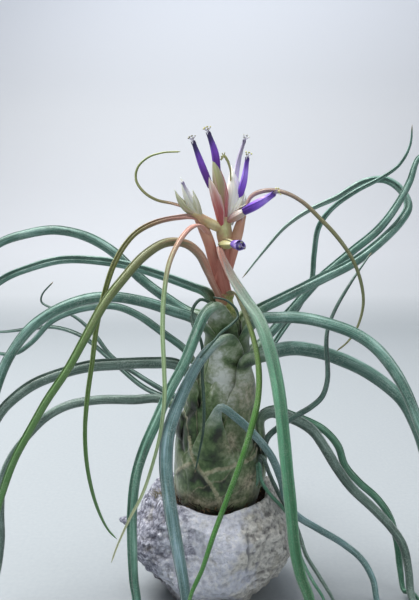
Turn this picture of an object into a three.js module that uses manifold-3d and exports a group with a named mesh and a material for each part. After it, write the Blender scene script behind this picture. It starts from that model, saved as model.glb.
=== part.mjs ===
// An air plant in flower: a giant bulbous tillandsia whose pseudobulb sits in the hollow of a stone.
// Millimetres, +Z up, the plant's front faces -Y, and the stone's flat foot lies on z = 0.
import * as THREE from 'three';
import { mergeVertices } from 'three/addons/utils/BufferGeometryUtils.js';
import Module from 'manifold-3d';

const wasm = await Module();
wasm.setup();

// --- Driving dimensions ---------------------------------------------------------------------

// The plant was measured from one sight point, in the upright plane y = 0 through its bulb.
const EYE_AHEAD = 330;
const EYE_HEIGHT = 201;

const SOCKET_GAP = 0.3; // clearance between a root and the socket it is sunk in
const TIP_RADIUS = 0.35; // nothing on the plant is thinner than twice this

const BLADE_STEPS = 16;
const FINE_STEPS = 12; // steps along a thread-like leaf
const CROWDING = 1.3; // steps crowd towards the root, where a leaf folds over, by this power
const ROOT_DROPS = [[16, -3.5], [9, 0.4], [0, 1]]; // below the mouth, and outside the bulb's skin
const FLARE = 2.9; // how many times its blade's width a leaf is where it joins its sheath
const FLARE_REACH = 30; // and how far along it that has died out
const FLARE_THICK = 0.62; // how thick it is there, as a share of the blade

// The bulb's mean skin: height, how far its axis leans along X, and radius.
const BULB = [
  [33.6, 2.5, 5],
  [36, 3, 12],
  [40, 3.5, 16.5],
  [47, 4, 20],
  [55, 4.3, 22.4],
  [65, 4.5, 23.2],
  [75, 4.5, 23],
  [85, 4.5, 21.8],
  [95, 5.5, 20],
  [105, 6.5, 17.8],
  [115, 8, 15.3],
  [125, 9, 12.9],
  [135, 9.3, 11.4],
  [145, 9.6, 9.7],
  [152, 9.4, 8],
  [158, 9, 6.6],
  [161, 8.6, 5.4],
];
const BULB_SIDES = 32;
const BULB_ROWS = 19;
const SHEATH_FOOT = 36; // height at which the sheaths are widest round the bulb
const SHEATH_STEP = 3.8; // from the innermost sheath's skin out to the outermost's
const NECK_SWELL = 0.8; // how far a sheath swells where its blade leaves it

// The stone: rows from the middle of its foot, up its side, over its rim and down its hollow, each
// with a height, a radius, and how rough it is. Flat faces clip the rows of its side.
const STONE = [
  [0, 14, 0],
  [0, 20, 0.3],
  [2.5, 27, 0.7],
  [8, 38, 1],
  [15, 46, 1],
  [24, 48, 1],
  [33, 47, 1],
  [41, 43, 1],
  [48.5, 36.5, 0.9],
  [54.2, 31.5, 0.6],
  [53.2, 28, 0.4],
  [47, 26.4, 0.3],
  [41, 21.5, 0.2],
  [36, 16.5, 0.1],
  [33.2, 10, 0],
];
const STONE_FOOT_ROWS = 2; // the first rows, which no face clips
const STONE_RIM_ROW = 9; // the last row of its side: the rows after it go down the hollow
const STONE_LEAN = 2.1; // how far the side's middle lies along X from the foot's
const STONE_MIDDLE_HEIGHT = 27;
// Each face's azimuth, its tilt up from upright, and how far from the stone's middle it lies.
const STONE_FACES = [
  [-112, 7, 38.5], [-58, -4, 39], [180, 4, 40.5], [-4, 7, 40.5], [48, -3, 39], [97, 6, 41],
  [146, -5, 39.5], [-142, -36, 33.5], [-34, -40, 34], [-90, -48, 33], [35, -38, 35], [120, -42, 34],
  [168, -34, 35], [-160, 38, 41], [20, 40, 42], [-75, 34, 42], [90, 36, 42],
];
const HOLLOW_LEAN = 3.5; // how far the hollow's middle lies along X from the foot's
const STONE_SIDES = 34;
const STONE_LUMP = 1.3; // how far the stone's lumps stand out from its faces
const RIM_WAVES_ABOVE = 48; // the height from which its rim rises and falls
const KNOB = { azimuth: 178, height: 35.5, reach: 13.5, spread: 5.2, away: 40 }; // on its left

// The mat of dark root fibres that lies between the bulb and the hollow's wall.
const MAT_RADIUS = 24;
const MAT_HEIGHT = 48.8;
const MAT_THICK = 1.1;
const MAT_SIDES = 6;
const MAT_STEPS = 24;
const FIBRES = 14;
const FIBRE_RADIUS = 0.36;

// --- Materials ------------------------------------------------------------------------------

const paint = (color, roughness) => new THREE.MeshStandardMaterial({ color, roughness, metalness: 0 });

const leafGreen = paint(0x5f8c7c, 0.55);
const bulbGreen = paint(0x7a8a70, 0.6);
const bractGreen = paint(0x6f8a3c, 0.55);
const bractOlive = paint(0x7d7a48, 0.55);
const stalkPink = paint(0xb4685f, 0.5);
const spikePink = paint(0xd9a9a0, 0.5);
const petalViolet = paint(0x6a3fc0, 0.5);
const petalFaded = paint(0x9a93a8, 0.6);
const stamenYellow = paint(0xc8cc60, 0.6);
const stoneGrey = paint(0xb8b6bf, 0.95);
const fibreBrown = paint(0x2a2019, 0.9);

// --- Helpers --------------------------------------------------------------------------------

const degrees = THREE.MathUtils.degToRad;
const mix = THREE.MathUtils.lerp;

// How much smaller a thing is than it looks in the plane y = 0, when it is `near` nearer to the eye.
const shrink = (near) => (EYE_AHEAD - near) / EYE_AHEAD;

// The point that the eye sees at (across, up) of the plane y = 0, slid `near` towards the eye.
function seen([across, up, near]) {
  const k = shrink(near);
  return new THREE.Vector3(across * k, -near, EYE_HEIGHT + (up - EYE_HEIGHT) * k);
}

// The value at place 0..1 of numbers spread evenly along something.
function spread(numbers, place) {
  const at = place * (numbers.length - 1);
  const low = Math.min(Math.floor(at), numbers.length - 2);
  return mix(numbers[low], numbers[low + 1], at - low);
}

// A closed body through rings of equally many points, each ring counter-clockwise about its way on.
function loft(rings) {
  const sides = rings[0].length;
  const points = rings.flat();
  const faces = [];
  const capAt = (ring, first, facesOn) => {
    const middle = points.length;
    points.push(ring.reduce((sum, p) => sum.add(p), new THREE.Vector3()).divideScalar(sides));
    for (let j = 0; j < sides; j++) {
      const here = first + j;
      const next = first + ((j + 1) % sides);
      faces.push(...(facesOn ? [middle, here, next] : [middle, next, here]));
    }
  };
  for (let i = 0; i + 1 < rings.length; i++) {
    for (let j = 0; j < sides; j++) {
      const a = i * sides + j;
      const b = i * sides + ((j + 1) % sides);
      faces.push(a, b, b + sides, a, b + sides, a + sides);
    }
  }
  capAt(rings[0], 0, false);
  capAt(rings.at(-1), (rings.length - 1) * sides, true);
  const geometry = new THREE.BufferGeometry().setFromPoints(points);
  geometry.setIndex(faces);
  return geometry;
}

// Points spaced evenly along a smooth route, each with the way it runs, a way out and a way aside.
// `before` lengthens the route that much at its start.
function framesAlong(stops, steps, out, before = 0, crowding = 1) {
  const curve = new THREE.CatmullRomCurve3(stops, false, 'centripetal');
  const length = curve.getLength();
  const places = Array.from({ length: steps + 1 }, (_, i) => (i / steps) ** crowding);
  const points = places.map((at) => curve.getPointAt(at));
  points[0].add(points[0].clone().sub(points[1]).setLength(before));
  let turned = out.clone();
  return points.map((point, i) => {
    const ahead = points[Math.min(i + 1, steps)].clone().sub(points[Math.max(i - 1, 0)]).normalize();
    turned = turned.clone().addScaledVector(ahead, -turned.dot(ahead)).normalize();
    const aside = ahead.clone().cross(turned);
    return { point, ahead, out: turned, aside, place: places[i], along: places[i] * length };
  });
}

// A point of a frame's cross-section, `away` from its middle at an angle from the way out.
function offset(frame, away, angle) {
  return frame.point
    .clone()
    .addScaledVector(frame.out, away * Math.cos(angle))
    .addScaledVector(frame.aside, away * Math.sin(angle));
}

// A round tapering stem along a route: radii are spread evenly along it.
function stem(stops, radii, steps, sides, grow = 0) {
  const steep = Math.abs(stops.at(-1).z - stops[0].z) > 4;
  const out = steep ? new THREE.Vector3(0, -1, 0) : new THREE.Vector3(0, 0, 1);
  const rings = framesAlong(stops, steps, out, grow).map((frame) =>
    Array.from({ length: sides }, (_, j) =>
      offset(frame, spread(radii, frame.place) + grow, (2 * Math.PI * j) / sides),
    ),
  );
  return loft(rings);
}

function solidOf(geometry) {
  const bare = new THREE.BufferGeometry();
  bare.setAttribute('position', geometry.getAttribute('position'));
  bare.setIndex(geometry.getIndex());
  const merged = mergeVertices(bare, 1e-4);
  return new wasm.Manifold(
    new wasm.Mesh({
      numProp: 3,
      vertProperties: merged.getAttribute('position').array,
      triVerts: new Uint32Array(merged.getIndex().array),
    }),
  );
}

function geometryOf(solid) {
  const { vertProperties, triVerts } = solid.getMesh();
  const geometry = new THREE.BufferGeometry();
  geometry.setAttribute('position', new THREE.BufferAttribute(vertProperties, 3));
  geometry.setIndex(new THREE.BufferAttribute(triVerts, 1));
  return geometry;
}

const joined = (geometries) => geometryOf(geometries.map(solidOf).reduce((all, one) => all.add(one)));

// The largest body left of a geometry once others are cut out of it.
function cutBy(geometry, cutters) {
  const cut = cutters.map(solidOf).reduce((left, cutter) => left.subtract(cutter), solidOf(geometry));
  const bodies = cut.decompose().sort((a, b) => b.volume() - a.volume());
  return geometryOf(bodies[0]);
}

const group = new THREE.Group();

function place(name, geometry, material) {
  const flat = geometry.toNonIndexed();
  flat.computeVertexNormals();
  const mesh = new THREE.Mesh(flat, material);
  mesh.name = name;
  group.add(mesh);
}

// Repeatable chance: the same list of numbers from 0 to 1 on every run.
function chance(seed) {
  let state = seed;
  return () => {
    state = (state * 16807) % 2147483647;
    return state / 2147483647;
  };
}

// --- Leaves ---------------------------------------------------------------------------------

// The bulb's axis and radius at a height.
function bulbAt(z) {
  const last = BULB.length - 2;
  const row = Math.max(0, Math.min(last, BULB.findIndex(([height]) => height > z) - 1));
  const low = BULB[z >= BULB.at(-1)[0] ? last : row];
  const high = BULB[(z >= BULB.at(-1)[0] ? last : row) + 1];
  const share = THREE.MathUtils.clamp((z - low[0]) / (high[0] - low[0]), 0, 1);
  return { lean: mix(low[1], high[1], share), radius: mix(low[2], high[2], share) };
}

// A point at an angle round the bulb's axis, `outside` its mean skin.
function onBulb(azimuth, z, outside) {
  const { lean, radius } = bulbAt(z);
  const away = radius + outside;
  return new THREE.Vector3(lean + away * Math.cos(degrees(azimuth)), away * Math.sin(degrees(azimuth)), z);
}

// Every leaf leaves the bulb at an azimuth (0 right, -90 front) and height, and then runs through
// stops [across, up, near] as the eye sees them, and past those, hidden or off to the side, through
// tail points [x, y, z]. `wide` is how wide it looks, spread evenly from its root to its tip.
// `wrap` is half the angle that its sheath takes round the foot of the bulb.
const LEAVES = [
  {
    name: 'leaf_left_1', root: [166, 146], wrap: 75, wide: [5.2, 5.6, 5.6, 5.2, 4.2, 0.9],
    stops: [[-12, 151, -4], [-25, 159, -6], [-38, 169, -8], [-53, 183.5, -9], [-68, 192, -9],
      [-85, 195.5, -8], [-100, 193.5, -6], [-115, 188.5, -2]],
    tail: [[-133, 0, 174], [-148, -6, 157], [-157, -12, 140]],
  },
  {
    name: 'leaf_left_2', root: [140, 151], wrap: 70, wide: [4.6, 5, 4.8, 4.6, 3.8, 0.9],
    stops: [[-1, 160.5, -2], [-10, 164.5, 2], [-25, 170, 5], [-45, 176, 6], [-65, 179, 6],
      [-82, 179, 6], [-98, 175, 8], [-115, 167.5, 10]],
    tail: [[-126, -16, 152], [-137, -20, 134], [-143, -24, 118]],
  },
  {
    name: 'leaf_left_3', root: [-158, 139], wrap: 80, wide: [6, 6.2, 6, 6, 5, 0.9],
    stops: [[-8, 146.5, 10], [-20, 151, 14], [-38, 156.5, 18], [-55, 158.8, 22], [-72, 156.5, 26],
      [-88, 149.5, 30], [-100, 140, 33], [-110, 126, 36], [-115, 115, 38]],
    tail: [[-104, -47, 108], [-103, -58, 91], [-101, -68, 74]],
  },
  {
    name: 'leaf_left_4', root: [176, 117], wrap: 75, wide: [4.4, 4.2, 4, 3.4, 2.6, 0.9],
    stops: [[-12, 128, -1], [-25, 138.5, 2], [-40, 149, 6], [-52, 153.5, 8], [-65, 153, 8],
      [-77, 150, 8], [-87, 145, 8], [-98, 133.5, 8], [-107, 127.5, 6], [-115, 127.5, 4]],
    tail: [[-122, 0, 130], [-128, 4, 135]],
  },
  {
    name: 'leaf_left_5', root: [158, 97], wrap: 0, wide: [3.2, 3, 2.6, 2.2, 1.4, 0.8], fine: true,
    stops: [[-25, 107, -12], [-38, 115, -16], [-54, 126, -21], [-64, 139, -25], [-75, 148.3, -28],
      [-86, 152.3, -31], [-92.5, 156, -33], [-92, 160, -33], [-86, 167, -32]],
    tail: [],
  },
  {
    name: 'leaf_left_6', root: [-165, 113], wrap: 80, wide: [6, 6.4, 6.4, 6, 4.6, 0.9],
    stops: [[-18, 121.5, 12], [-32, 122.5, 15], [-50, 121.8, 19], [-66, 120.6, 23], [-82, 116.5, 27],
      [-97, 110.5, 31], [-108, 102.5, 35], [-115, 95, 38]],
    tail: [[-110, -46, 88], [-118, -56, 70], [-122, -64, 53]],
  },
  {
    name: 'leaf_left_7', root: [140, 94], wrap: 70, wide: [3, 3, 2.6, 2.2, 1.8, 0.8], fine: true,
    stops: [[-20, 102, -18], [-36, 109, -26], [-54, 124, -34], [-70, 137, -40], [-85, 142, -46],
      [-100, 141, -52], [-115, 139.5, -56]],
    tail: [[-146, 60, 130], [-156, 62, 126]],
  },
  {
    name: 'leaf_left_8', root: [-172, 95], wrap: 85, wide: [5, 5.2, 5, 4.6, 3.6, 0.9],
    stops: [[-26, 102.3, 3], [-42, 102.2, 6], [-62, 102, 9], [-78, 99, 12], [-90, 92.5, 14],
      [-100, 82.5, 15], [-109, 70.5, 16], [-114, 58, 17], [-115, 40, 18], [-114.5, 26, 18]],
    tail: [[-108.5, -22, 22], [-110, -30, 9], [-112, -40, 3.4], [-113, -54, 1.6]],
  },
  {
    name: 'leaf_front_1', root: [-116, 145], wrap: 80, wide: [5.6, 6.2, 6, 6, 5.4, 4.6, 1],
    stops: [[3.5, 153.6, 15], [-2, 150, 21], [-8, 137, 31], [-14, 122, 40], [-22, 107, 46],
      [-29, 91, 52], [-36, 75, 57], [-40.5, 60, 61], [-42.5, 42, 64], [-42.5, 22, 66],
      [-41.5, 2, 68], [-40, -8, 69]],
    tail: [[-31, -72, 20], [-30, -79, 8], [-29, -92, 3], [-27, -108, 1.4]],
  },
  {
    name: 'leaf_front_2', root: [-88, 127], wrap: 90, wide: [5.4, 5.4, 6, 7, 6.8, 5.6, 4.6, 1],
    stops: [[8, 134.8, 19], [2, 131.8, 26], [-5, 124, 32], [-11, 113.5, 38], [-18, 98, 45],
      [-23, 82, 51], [-24, 65, 55], [-22.5, 50, 58], [-19.8, 32, 60], [-16.5, 14, 61],
      [-13, -8, 61]],
    tail: [[-10, -63, 15], [-8, -70, 5.5], [-6, -82, 2.6], [-2, -96, 1.4]],
  },
  {
    name: 'leaf_front_3', root: [-98, 90], wrap: 85, wide: [4.8, 4.6, 4.4, 4, 3.6, 3.4, 0.9],
    stops: [[6, 97.7, 25], [15, 92, 27.5], [25, 82.5, 28], [34, 71, 26], [39, 59, 24],
      [42.5, 46, 21], [48, 38.5, 18], [60, 31, 15], [74, 22.6, 14], [84, 14, 17], [90, 3, 22],
      [92, -8, 27]],
    tail: [[86, -33, 4.5], [88, -44, 2], [92, -56, 1.4]],
  },
  {
    name: 'leaf_front_thread_1', root: [-27, 75], wrap: 0, wide: [2.4, 2.4, 2.4, 2.2, 0.8], fine: true,
    stops: [[29.5, 70, 15], [33.5, 60, 15], [40, 47, 13], [46, 37, 14], [50, 26, 20],
      [53, 17, 26], [60, 5.5, 31], [68, -8, 36]],
    tail: [[64, -42, 5], [68, -50, 2]],
  },
  {
    name: 'leaf_front_thread_2', root: [-34, 72], wrap: 0, wide: [2, 2, 2, 1.8, 0.8], fine: true,
    stops: [[27.5, 66, 19], [28.5, 58, 21], [33, 50.5, 22.5], [40, 43, 24], [45.3, 36, 25],
      [47.6, 26, 28], [50.5, 15, 32], [57, 2, 37], [63, -8, 42]],
    tail: [[57, -47, 7], [60, -54, 3]],
  },
  {
    name: 'leaf_front_thread_3', root: [-150, 152], wrap: 0, wide: [1.8, 1.8, 1.8, 1.8, 0.8], fine: true,
    stops: [[-5, 157.2, 10], [-9.4, 151.5, 12], [-9.2, 143.5, 17], [-5, 135.5, 23], [-3.6, 127, 25.5],
      [-4, 116, 25], [-3.3, 105, 27], [-3, 94, 29], [-3.6, 84, 29], [-5.5, 74, 29], [-8, 62, 28.5]],
    tail: [],
  },
  {
    name: 'leaf_right_1', root: [12, 145], wrap: 75, wide: [6, 6, 6, 5.4, 4.8, 4, 2.8, 1.8, 0.9], steps: 22,
    stops: [[28, 152, 2], [40, 158, 3], [60, 168, 3], [78, 177, 0], [95, 190, -6], [105.5, 201, -12],
      [109.3, 209, -17], [105.5, 217.3, -21], [97, 223, -24], [85, 222, -27], [70, 213.5, -29],
      [55, 206.5, -30], [42, 197.5, -31], [30, 184, -32], [18, 169, -32]],
    tail: [],
  },
  {
    name: 'leaf_right_2', root: [30, 124], wrap: 80, wide: [5, 5, 5, 4.6, 3.6, 0.9],
    stops: [[30, 135, -12], [37, 142.5, -14], [46, 152.5, -15], [60, 168, -14], [78, 183.5, -11],
      [93, 196, -9], [103, 209, -9], [110, 222, -12], [115, 235, -16]],
    tail: [[132, 19, 243], [142, 24, 256]],
  },
  {
    name: 'leaf_right_3', root: [52, 118], wrap: 75, wide: [3.2, 3, 3, 3, 2.4, 0.8], steps: 19,
    stops: [[30, 127, -18], [40, 140, -23], [50, 155, -27], [56, 167, -29], [57.5, 182, -30],
      [60, 197, -28], [67, 207, -24], [80, 216.5, -18], [95, 224.5, -14], [104.5, 231.5, -12],
      [110.3, 242, -10], [111.5, 253.5, -9]],
    tail: [],
  },
  {
    name: 'leaf_right_4', root: [-28, 137], wrap: 80, wide: [6, 6.4, 6.6, 6.4, 5, 0.9],
    stops: [[26, 145.8, 12], [38, 147.4, 15], [52, 147, 19], [66, 143.8, 24], [80, 138.5, 29],
      [91, 131, 33], [100, 120.5, 37], [108, 107, 41], [114, 92, 44]],
    tail: [[102, -49, 94], [106, -56, 74], [110, -62, 58]],
  },
  {
    name: 'leaf_right_5', root: [-47, 113], wrap: 80, wide: [7, 7.8, 7.6, 7, 6.4, 5.6, 1],
    stops: [[20, 122.6, 14.5], [31, 127.3, 13], [44, 130.4, 9], [57, 129.2, 6], [70, 125.3, 4],
      [84, 119, 4], [97, 110.3, 7], [107, 100.5, 11], [115, 84, 16]],
    tail: [[113, -22, 72], [117, -28, 50], [120, -36, 30], [124, -46, 14]],
  },
  {
    name: 'leaf_right_6', root: [-8, 81], wrap: 85, wide: [5, 6, 6, 5.6, 5, 4.4, 0.9],
    stops: [[28, 91.5, 2], [33.5, 95.3, 2.5], [41, 93.6, 3], [50, 90, 4], [57, 85, 5],
      [64, 75, 6], [70, 65, 7], [78, 54, 8], [90, 42.5, 9], [100, 32, 10], [106.5, 22, 12],
      [109.5, 8, 16], [110.5, -3, 20]],
    tail: [[104, -25, 5], [105, -36, 2.3], [108, -50, 1.5]],
  },
  {
    name: 'leaf_right_7', root: [16, 82], wrap: 80, wide: [4.2, 4.2, 4.2, 4, 3.6, 0.9],
    stops: [[29, 94, -6], [36, 97, -7], [45, 93.8, -6], [55, 90, -5], [63, 85.5, -4], [70.5, 77, -3],
      [74.5, 66, -2], [82, 57, -1], [92, 48, 0], [99, 38, 1], [103, 24, 3], [105, 8, 7],
      [107, -3, 11]],
    tail: [[106, -14, 5.5], [111, -21, 2.2], [119, -28, 1.5]],
  },
  {
    name: 'leaf_right_8', root: [-16, 69], wrap: 75, wide: [3.4, 3.4, 3.2, 3, 2.4, 1.8, 0.8], steps: 19,
    stops: [[31.5, 80.5, 9.5], [38, 87, 11], [48, 93.5, 13], [56, 98.3, 15], [62, 104, 16],
      [64.8, 113, 17], [64.8, 123, 17], [64.2, 133, 16], [65, 141, 14], [69, 151.5, 11],
      [78, 167, 8], [89, 183, 4]],
    tail: [],
  },
  {
    name: 'leaf_back_1', root: [78, 139], wrap: 85, wide: [5.6, 5.6, 5, 4.2, 3, 1],
    stops: [],
    tail: [[10, 24, 150], [10, 56, 147], [8, 86, 132], [6, 106, 106], [4, 120, 78], [2, 127, 54]],
  },
  {
    name: 'leaf_back_2', root: [108, 117], wrap: 85, wide: [5.6, 5.6, 5, 4.2, 3, 1],
    stops: [],
    tail: [[2, 26, 127], [0, 52, 125], [-2, 76, 110], [-4, 94, 86], [-5, 103, 60], [-5, 108, 36]],
  },
  {
    name: 'leaf_back_3', root: [66, 98], wrap: 85, wide: [5.4, 5.4, 4.8, 4, 3, 1],
    stops: [],
    tail: [[16, 30, 107], [21, 54, 105], [24, 76, 90], [24, 90, 66], [22, 99, 42], [20, 105, 20]],
  },
  {
    name: 'leaf_back_4', root: [118, 78], wrap: 85, wide: [5, 5, 4.4, 3.8, 3, 1],
    stops: [],
    tail: [[-8, 29, 87], [-10, 50, 85], [-13, 72, 68], [-15, 88, 46], [-19, 100, 26], [-24, 110, 10]],
  },
];

function leafStops({ root, stops, tail }) {
  const [azimuth, mouth] = root;
  return [
    ...ROOT_DROPS.map(([drop, outside]) => {
      const z = mouth - drop;
      return onBulb(azimuth, z, sheathRelief(azimuth, z) + outside);
    }),
    ...stops.map(seen),
    ...tail.map((p) => new THREE.Vector3(...p)),
  ];
}

// A leaf is a rolled sheet: round behind, with a groove down the side that faced the stalk.
const LEAF_ANGLES = [-150, -90, -30, 30, 90, 150].map(degrees);
const GROOVE_FLOOR = 0.1; // from the section's middle, as a share of its radius

// `flat` goes from 0, a round blade, to 1, a sheath that is broad and bends round the bulb.
function rolledRing(frame, radius, flat, bend, grow) {
  const broad = radius * mix(1, FLARE, flat);
  const thick = radius * mix(1, FLARE_THICK, flat);
  const at = (share, angle) => {
    const sideways = (share * broad + grow) * Math.sin(angle);
    const outwards = (share * thick + grow) * Math.cos(angle) - (flat * sideways ** 2) / (2 * bend);
    return frame.point.clone().addScaledVector(frame.out, outwards).addScaledVector(frame.aside, sideways);
  };
  return [...LEAF_ANGLES.map((angle) => at(1, angle)), at(GROOVE_FLOOR, Math.PI)];
}

// `bend` is the radius of what the leaf's sheath lies round, or 0 where it has none.
function rolledLeaf(stops, wide, steps, out, grow = 0, bend = 0) {
  const rings = framesAlong(stops, steps, out, grow, bend ? CROWDING : 1).map((frame) => {
    const radius = Math.max((spread(wide, frame.place) / 2) * shrink(-frame.point.y), TIP_RADIUS);
    const flat = bend ? 1 - THREE.MathUtils.smoothstep(frame.along, 3, FLARE_REACH) : 0;
    return rolledRing(frame, radius, flat, bend || 1, grow);
  });
  return loft(rings);
}

function outwardFrom(azimuth) {
  return new THREE.Vector3(Math.cos(degrees(azimuth)), Math.sin(degrees(azimuth)), 0);
}

function leafBody(leaf, grow = 0) {
  const steps = leaf.steps ?? (leaf.fine ? FINE_STEPS : BLADE_STEPS);
  const bend = leaf.wrap ? bulbAt(leaf.root[1] - 10).radius : 0;
  return rolledLeaf(leafStops(leaf), leaf.wide, steps, outwardFrom(leaf.root[0]), grow, bend);
}

// --- Bracts: the long leaf-like ones that stand on the flower stalk -----------------------------

// Each starts inside the stalk at `root`, as the eye sees it, and its back faces azimuth `outward`.
const BRACTS = [
  {
    name: 'bract_olive_long', root: [5, 158, 2], outward: -150, wide: [4.4, 5, 5.4, 5.2, 4.8, 4.4, 4, 3.2, 1],
    stops: [[1.5, 166, 4], [-1.3, 173.5, 5.5], [-5.5, 182, 9], [-13, 188, 14], [-24, 188.5, 21],
      [-36, 181.3, 29], [-48, 168, 37], [-58, 155, 43], [-68, 137, 50], [-78, 119, 55],
      [-90, 101, 59], [-99, 85, 62], [-107, 70, 64], [-113, 54, 66], [-117, 40, 68]],
    tail: [[-96, -74, 46], [-100, -80, 24], [-104, -88, 10]], steps: 19, olive: true,
  },
  {
    name: 'bract_left_thin', root: [-4, 199.5, 2], outward: 180, wide: [2.8, 3.2, 3.2, 3, 2.8, 2.4, 2, 0.9],
    stops: [[-9, 202.6, 5], [-18, 202.3, 8], [-30, 199.6, 13], [-40, 194.3, 19], [-47, 186.5, 24],
      [-53, 175.5, 28], [-58, 160, 31], [-62, 143, 35], [-64.5, 123, 39], [-67, 105, 41],
      [-68.5, 85, 42], [-67.2, 65, 40], [-62.5, 45, 36], [-56, 31, 32], [-51, 25.5, 30]],
    tail: [], steps: 17,
  },
  {
    name: 'bract_pale_thin', root: [-1, 193, 3], outward: -120, wide: [2.6, 3, 2.8, 2.6, 2.4, 2, 1.6, 0.9],
    stops: [[-5, 197.6, 9], [-9.5, 197.2, 17], [-14.5, 192.3, 25], [-19, 185, 31], [-22.5, 176, 36],
      [-25, 160, 42], [-25.8, 140, 50], [-25, 120, 57], [-24.7, 104, 62], [-27, 84, 66],
      [-31.5, 66, 69], [-37, 50, 71], [-44.5, 35.5, 72], [-51, 21, 71], [-54, 12.5, 70]],
    tail: [], steps: 17,
  },
  {
    name: 'bract_right_broad', root: [8, 177, 0], outward: -110,
    wide: [3.4, 4.4, 5.4, 6.2, 6.5, 6.2, 5.6, 4.6, 1],
    stops: [[6.6, 183.5, 3.5], [5.6, 185.3, 7], [6.6, 181.5, 10], [12, 170, 14.5], [20, 157, 23],
      [27, 146.5, 32], [32, 133.5, 40], [36, 118, 46], [39, 100, 52], [41, 80, 56], [43, 60, 58],
      [45, 40, 59], [47, 20, 59], [50, 6, 59], [55, -8, 60]],
    tail: [[47, -63, 12], [50, -69, 4.5], [55, -80, 2.4], [60, -94, 1.4]], steps: 19,
  },
  {
    name: 'bract_left_curled', root: [-6, 204, -1], outward: 180, wide: [1.8, 1.7, 1.5, 1.2, 0.9],
    stops: [[-12, 207.3, 2], [-20, 210, 3], [-29, 212, 3], [-36, 216.3, 2], [-40.4, 223, 0],
      [-39.5, 229.8, -2], [-34, 235.3, -4], [-26, 238, -5], [-16, 238.6, -6]],
    tail: [], steps: 13,
  },
  {
    name: 'bract_right_thin', root: [17.5, 199, 1], outward: 0, wide: [3, 2.6, 2.4, 2.4, 2.2, 1.8, 1.4, 0.9],
    stops: [[19.5, 206.5, 3], [23, 214, 4], [31, 217.2, 6], [41, 216.2, 8], [51, 211, 10], [61, 201.6, 12],
      [70, 192, 14], [78, 180.5, 15], [83, 168, 15], [84.6, 155, 14], [81.3, 142, 13], [76, 134, 12],
      [70, 129, 12]],
    tail: [], steps: 16,
  },
  {
    name: 'bract_green_front', root: [9.5, 160, 3], outward: -70,
    wide: [2.2, 2.6, 3.2, 3.6, 3.4, 3, 2.6, 2, 0.9],
    stops: [[13.5, 161, 9], [17, 155.5, 14], [20.5, 147, 21], [24.5, 134.5, 30], [27, 120, 38],
      [26.7, 103, 46], [22.5, 85, 53], [16.5, 66, 58], [9, 46, 62], [2, 27, 65], [-4, 9, 67],
      [-11, -8, 68]],
    tail: [[-9.6, -71, 18], [-13.5, -75, 6]], steps: 17,
  },
];

function bractBody(bract, grow = 0) {
  const stops = [bract.root, ...bract.stops].map(seen);
  const tail = bract.tail.map((p) => new THREE.Vector3(...p));
  return rolledLeaf([...stops, ...tail], bract.wide, bract.steps, outwardFrom(bract.outward), grow);
}

// --- Flower stalk, flower spikes and flowers -------------------------------------------------

// Branches of the stalk: stops as the eye sees them, and radii.
const STALK = [
  {
    radii: [3.4, 4.6, 4.5, 3.8, 2.6],
    stops: [[8.8, 150, 0], [7.8, 159, 0], [6.4, 167, 0], [5, 174, 0], [4, 180, 0]],
  },
  {
    radii: [3, 3.1, 3.1, 3, 2],
    stops: [[5.8, 167, 0], [2.8, 177, 0.5], [0, 188, 1], [-3.6, 197, 1], [-7.5, 204.5, 0]],
  },
  {
    radii: [2.8, 2.9, 3, 2.9, 1.8],
    stops: [[8.5, 168, 0], [11.3, 179, 0.5], [14.4, 190, 1], [16.6, 198, 1], [18.5, 204, 1]],
  },
  {
    radii: [2.2, 3.6, 4.8, 2.6],
    stops: [[9.6, 177, 0], [8.8, 187, 0.5], [8, 195.5, 0.5], [8.4, 202.5, 0]],
  },
];
const STALK_STEPS = 4;
const STALK_SIDES = 6;

function stalkBody(grow = 0) {
  const branches = STALK.map(({ stops, radii }) =>
    stem(stops.map(seen), radii, STALK_STEPS, STALK_SIDES, grow));
  return joined(branches);
}

// Each spike runs from base to tip and holds overlapping boat-shaped bracts, one to each side in turn.
const SPIKES = [
  { name: 'spike_left', base: [3.5, 198.5, 4.5], tip: [-17, 217.5, 6], wide: 6.8, bracts: 4 },
  { name: 'spike_centre', base: [7.4, 198, 0], tip: [3, 232, 0], wide: 8.6, bracts: 5 },
  { name: 'spike_right_pale', base: [11.3, 199, -4], tip: [14.6, 226, -5], wide: 6.2, bracts: 4 },
  { name: 'spike_right_low', base: [10.6, 199.6, 2], tip: [25, 210.5, 9], wide: 5.4, bracts: 3 },
  { name: 'spike_front_bud', base: [9, 190.5, 2.5], tip: [14, 187.5, 17], wide: 6, bracts: 3 },
];
const SCALE_RADII = [0.44, 0.74, 0.78, 0.5, 0.13]; // along a bract, as shares of half its spike's width
const SCALE_SIDES = 5;
const SCALE_LEAN = [0.06, 0.16, 0.2]; // how far it stands aside at its base, middle and tip, as a share
const SCALE_LENGTH = 0.56; // as a share of its spike's length
const LAST_SCALE_LENGTH = 0.66;
const SPIKE_TAPER = 0.25; // how much slimmer the last bract is, were it to start at the spike's tip

function spikeBody({ base, tip, wide, bracts }, grow = 0) {
  const foot = seen(base);
  const run = seen(tip).sub(foot);
  const aside = run.clone().cross(new THREE.Vector3(0, -1, 0)).normalize();
  const scales = Array.from({ length: bracts }, (_, i) => {
    const side = i % 2 ? 1 : -1;
    const start = (0.5 * i) / bracts;
    const length = i === bracts - 1 ? LAST_SCALE_LENGTH : SCALE_LENGTH;
    const end = Math.min(1, start + length);
    const stops = [start, (start + end) / 2, end].map((at, stop) =>
      foot.clone().addScaledVector(run, at).addScaledVector(aside, wide * side * SCALE_LEAN[stop]));
    const half = (wide / 2) * (1 - SPIKE_TAPER * start);
    const radii = SCALE_RADII.map((share) => Math.max(share * half, TIP_RADIUS));
    return stem(stops, radii, radii.length - 1, SCALE_SIDES, grow);
  });
  return joined(scales);
}

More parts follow.
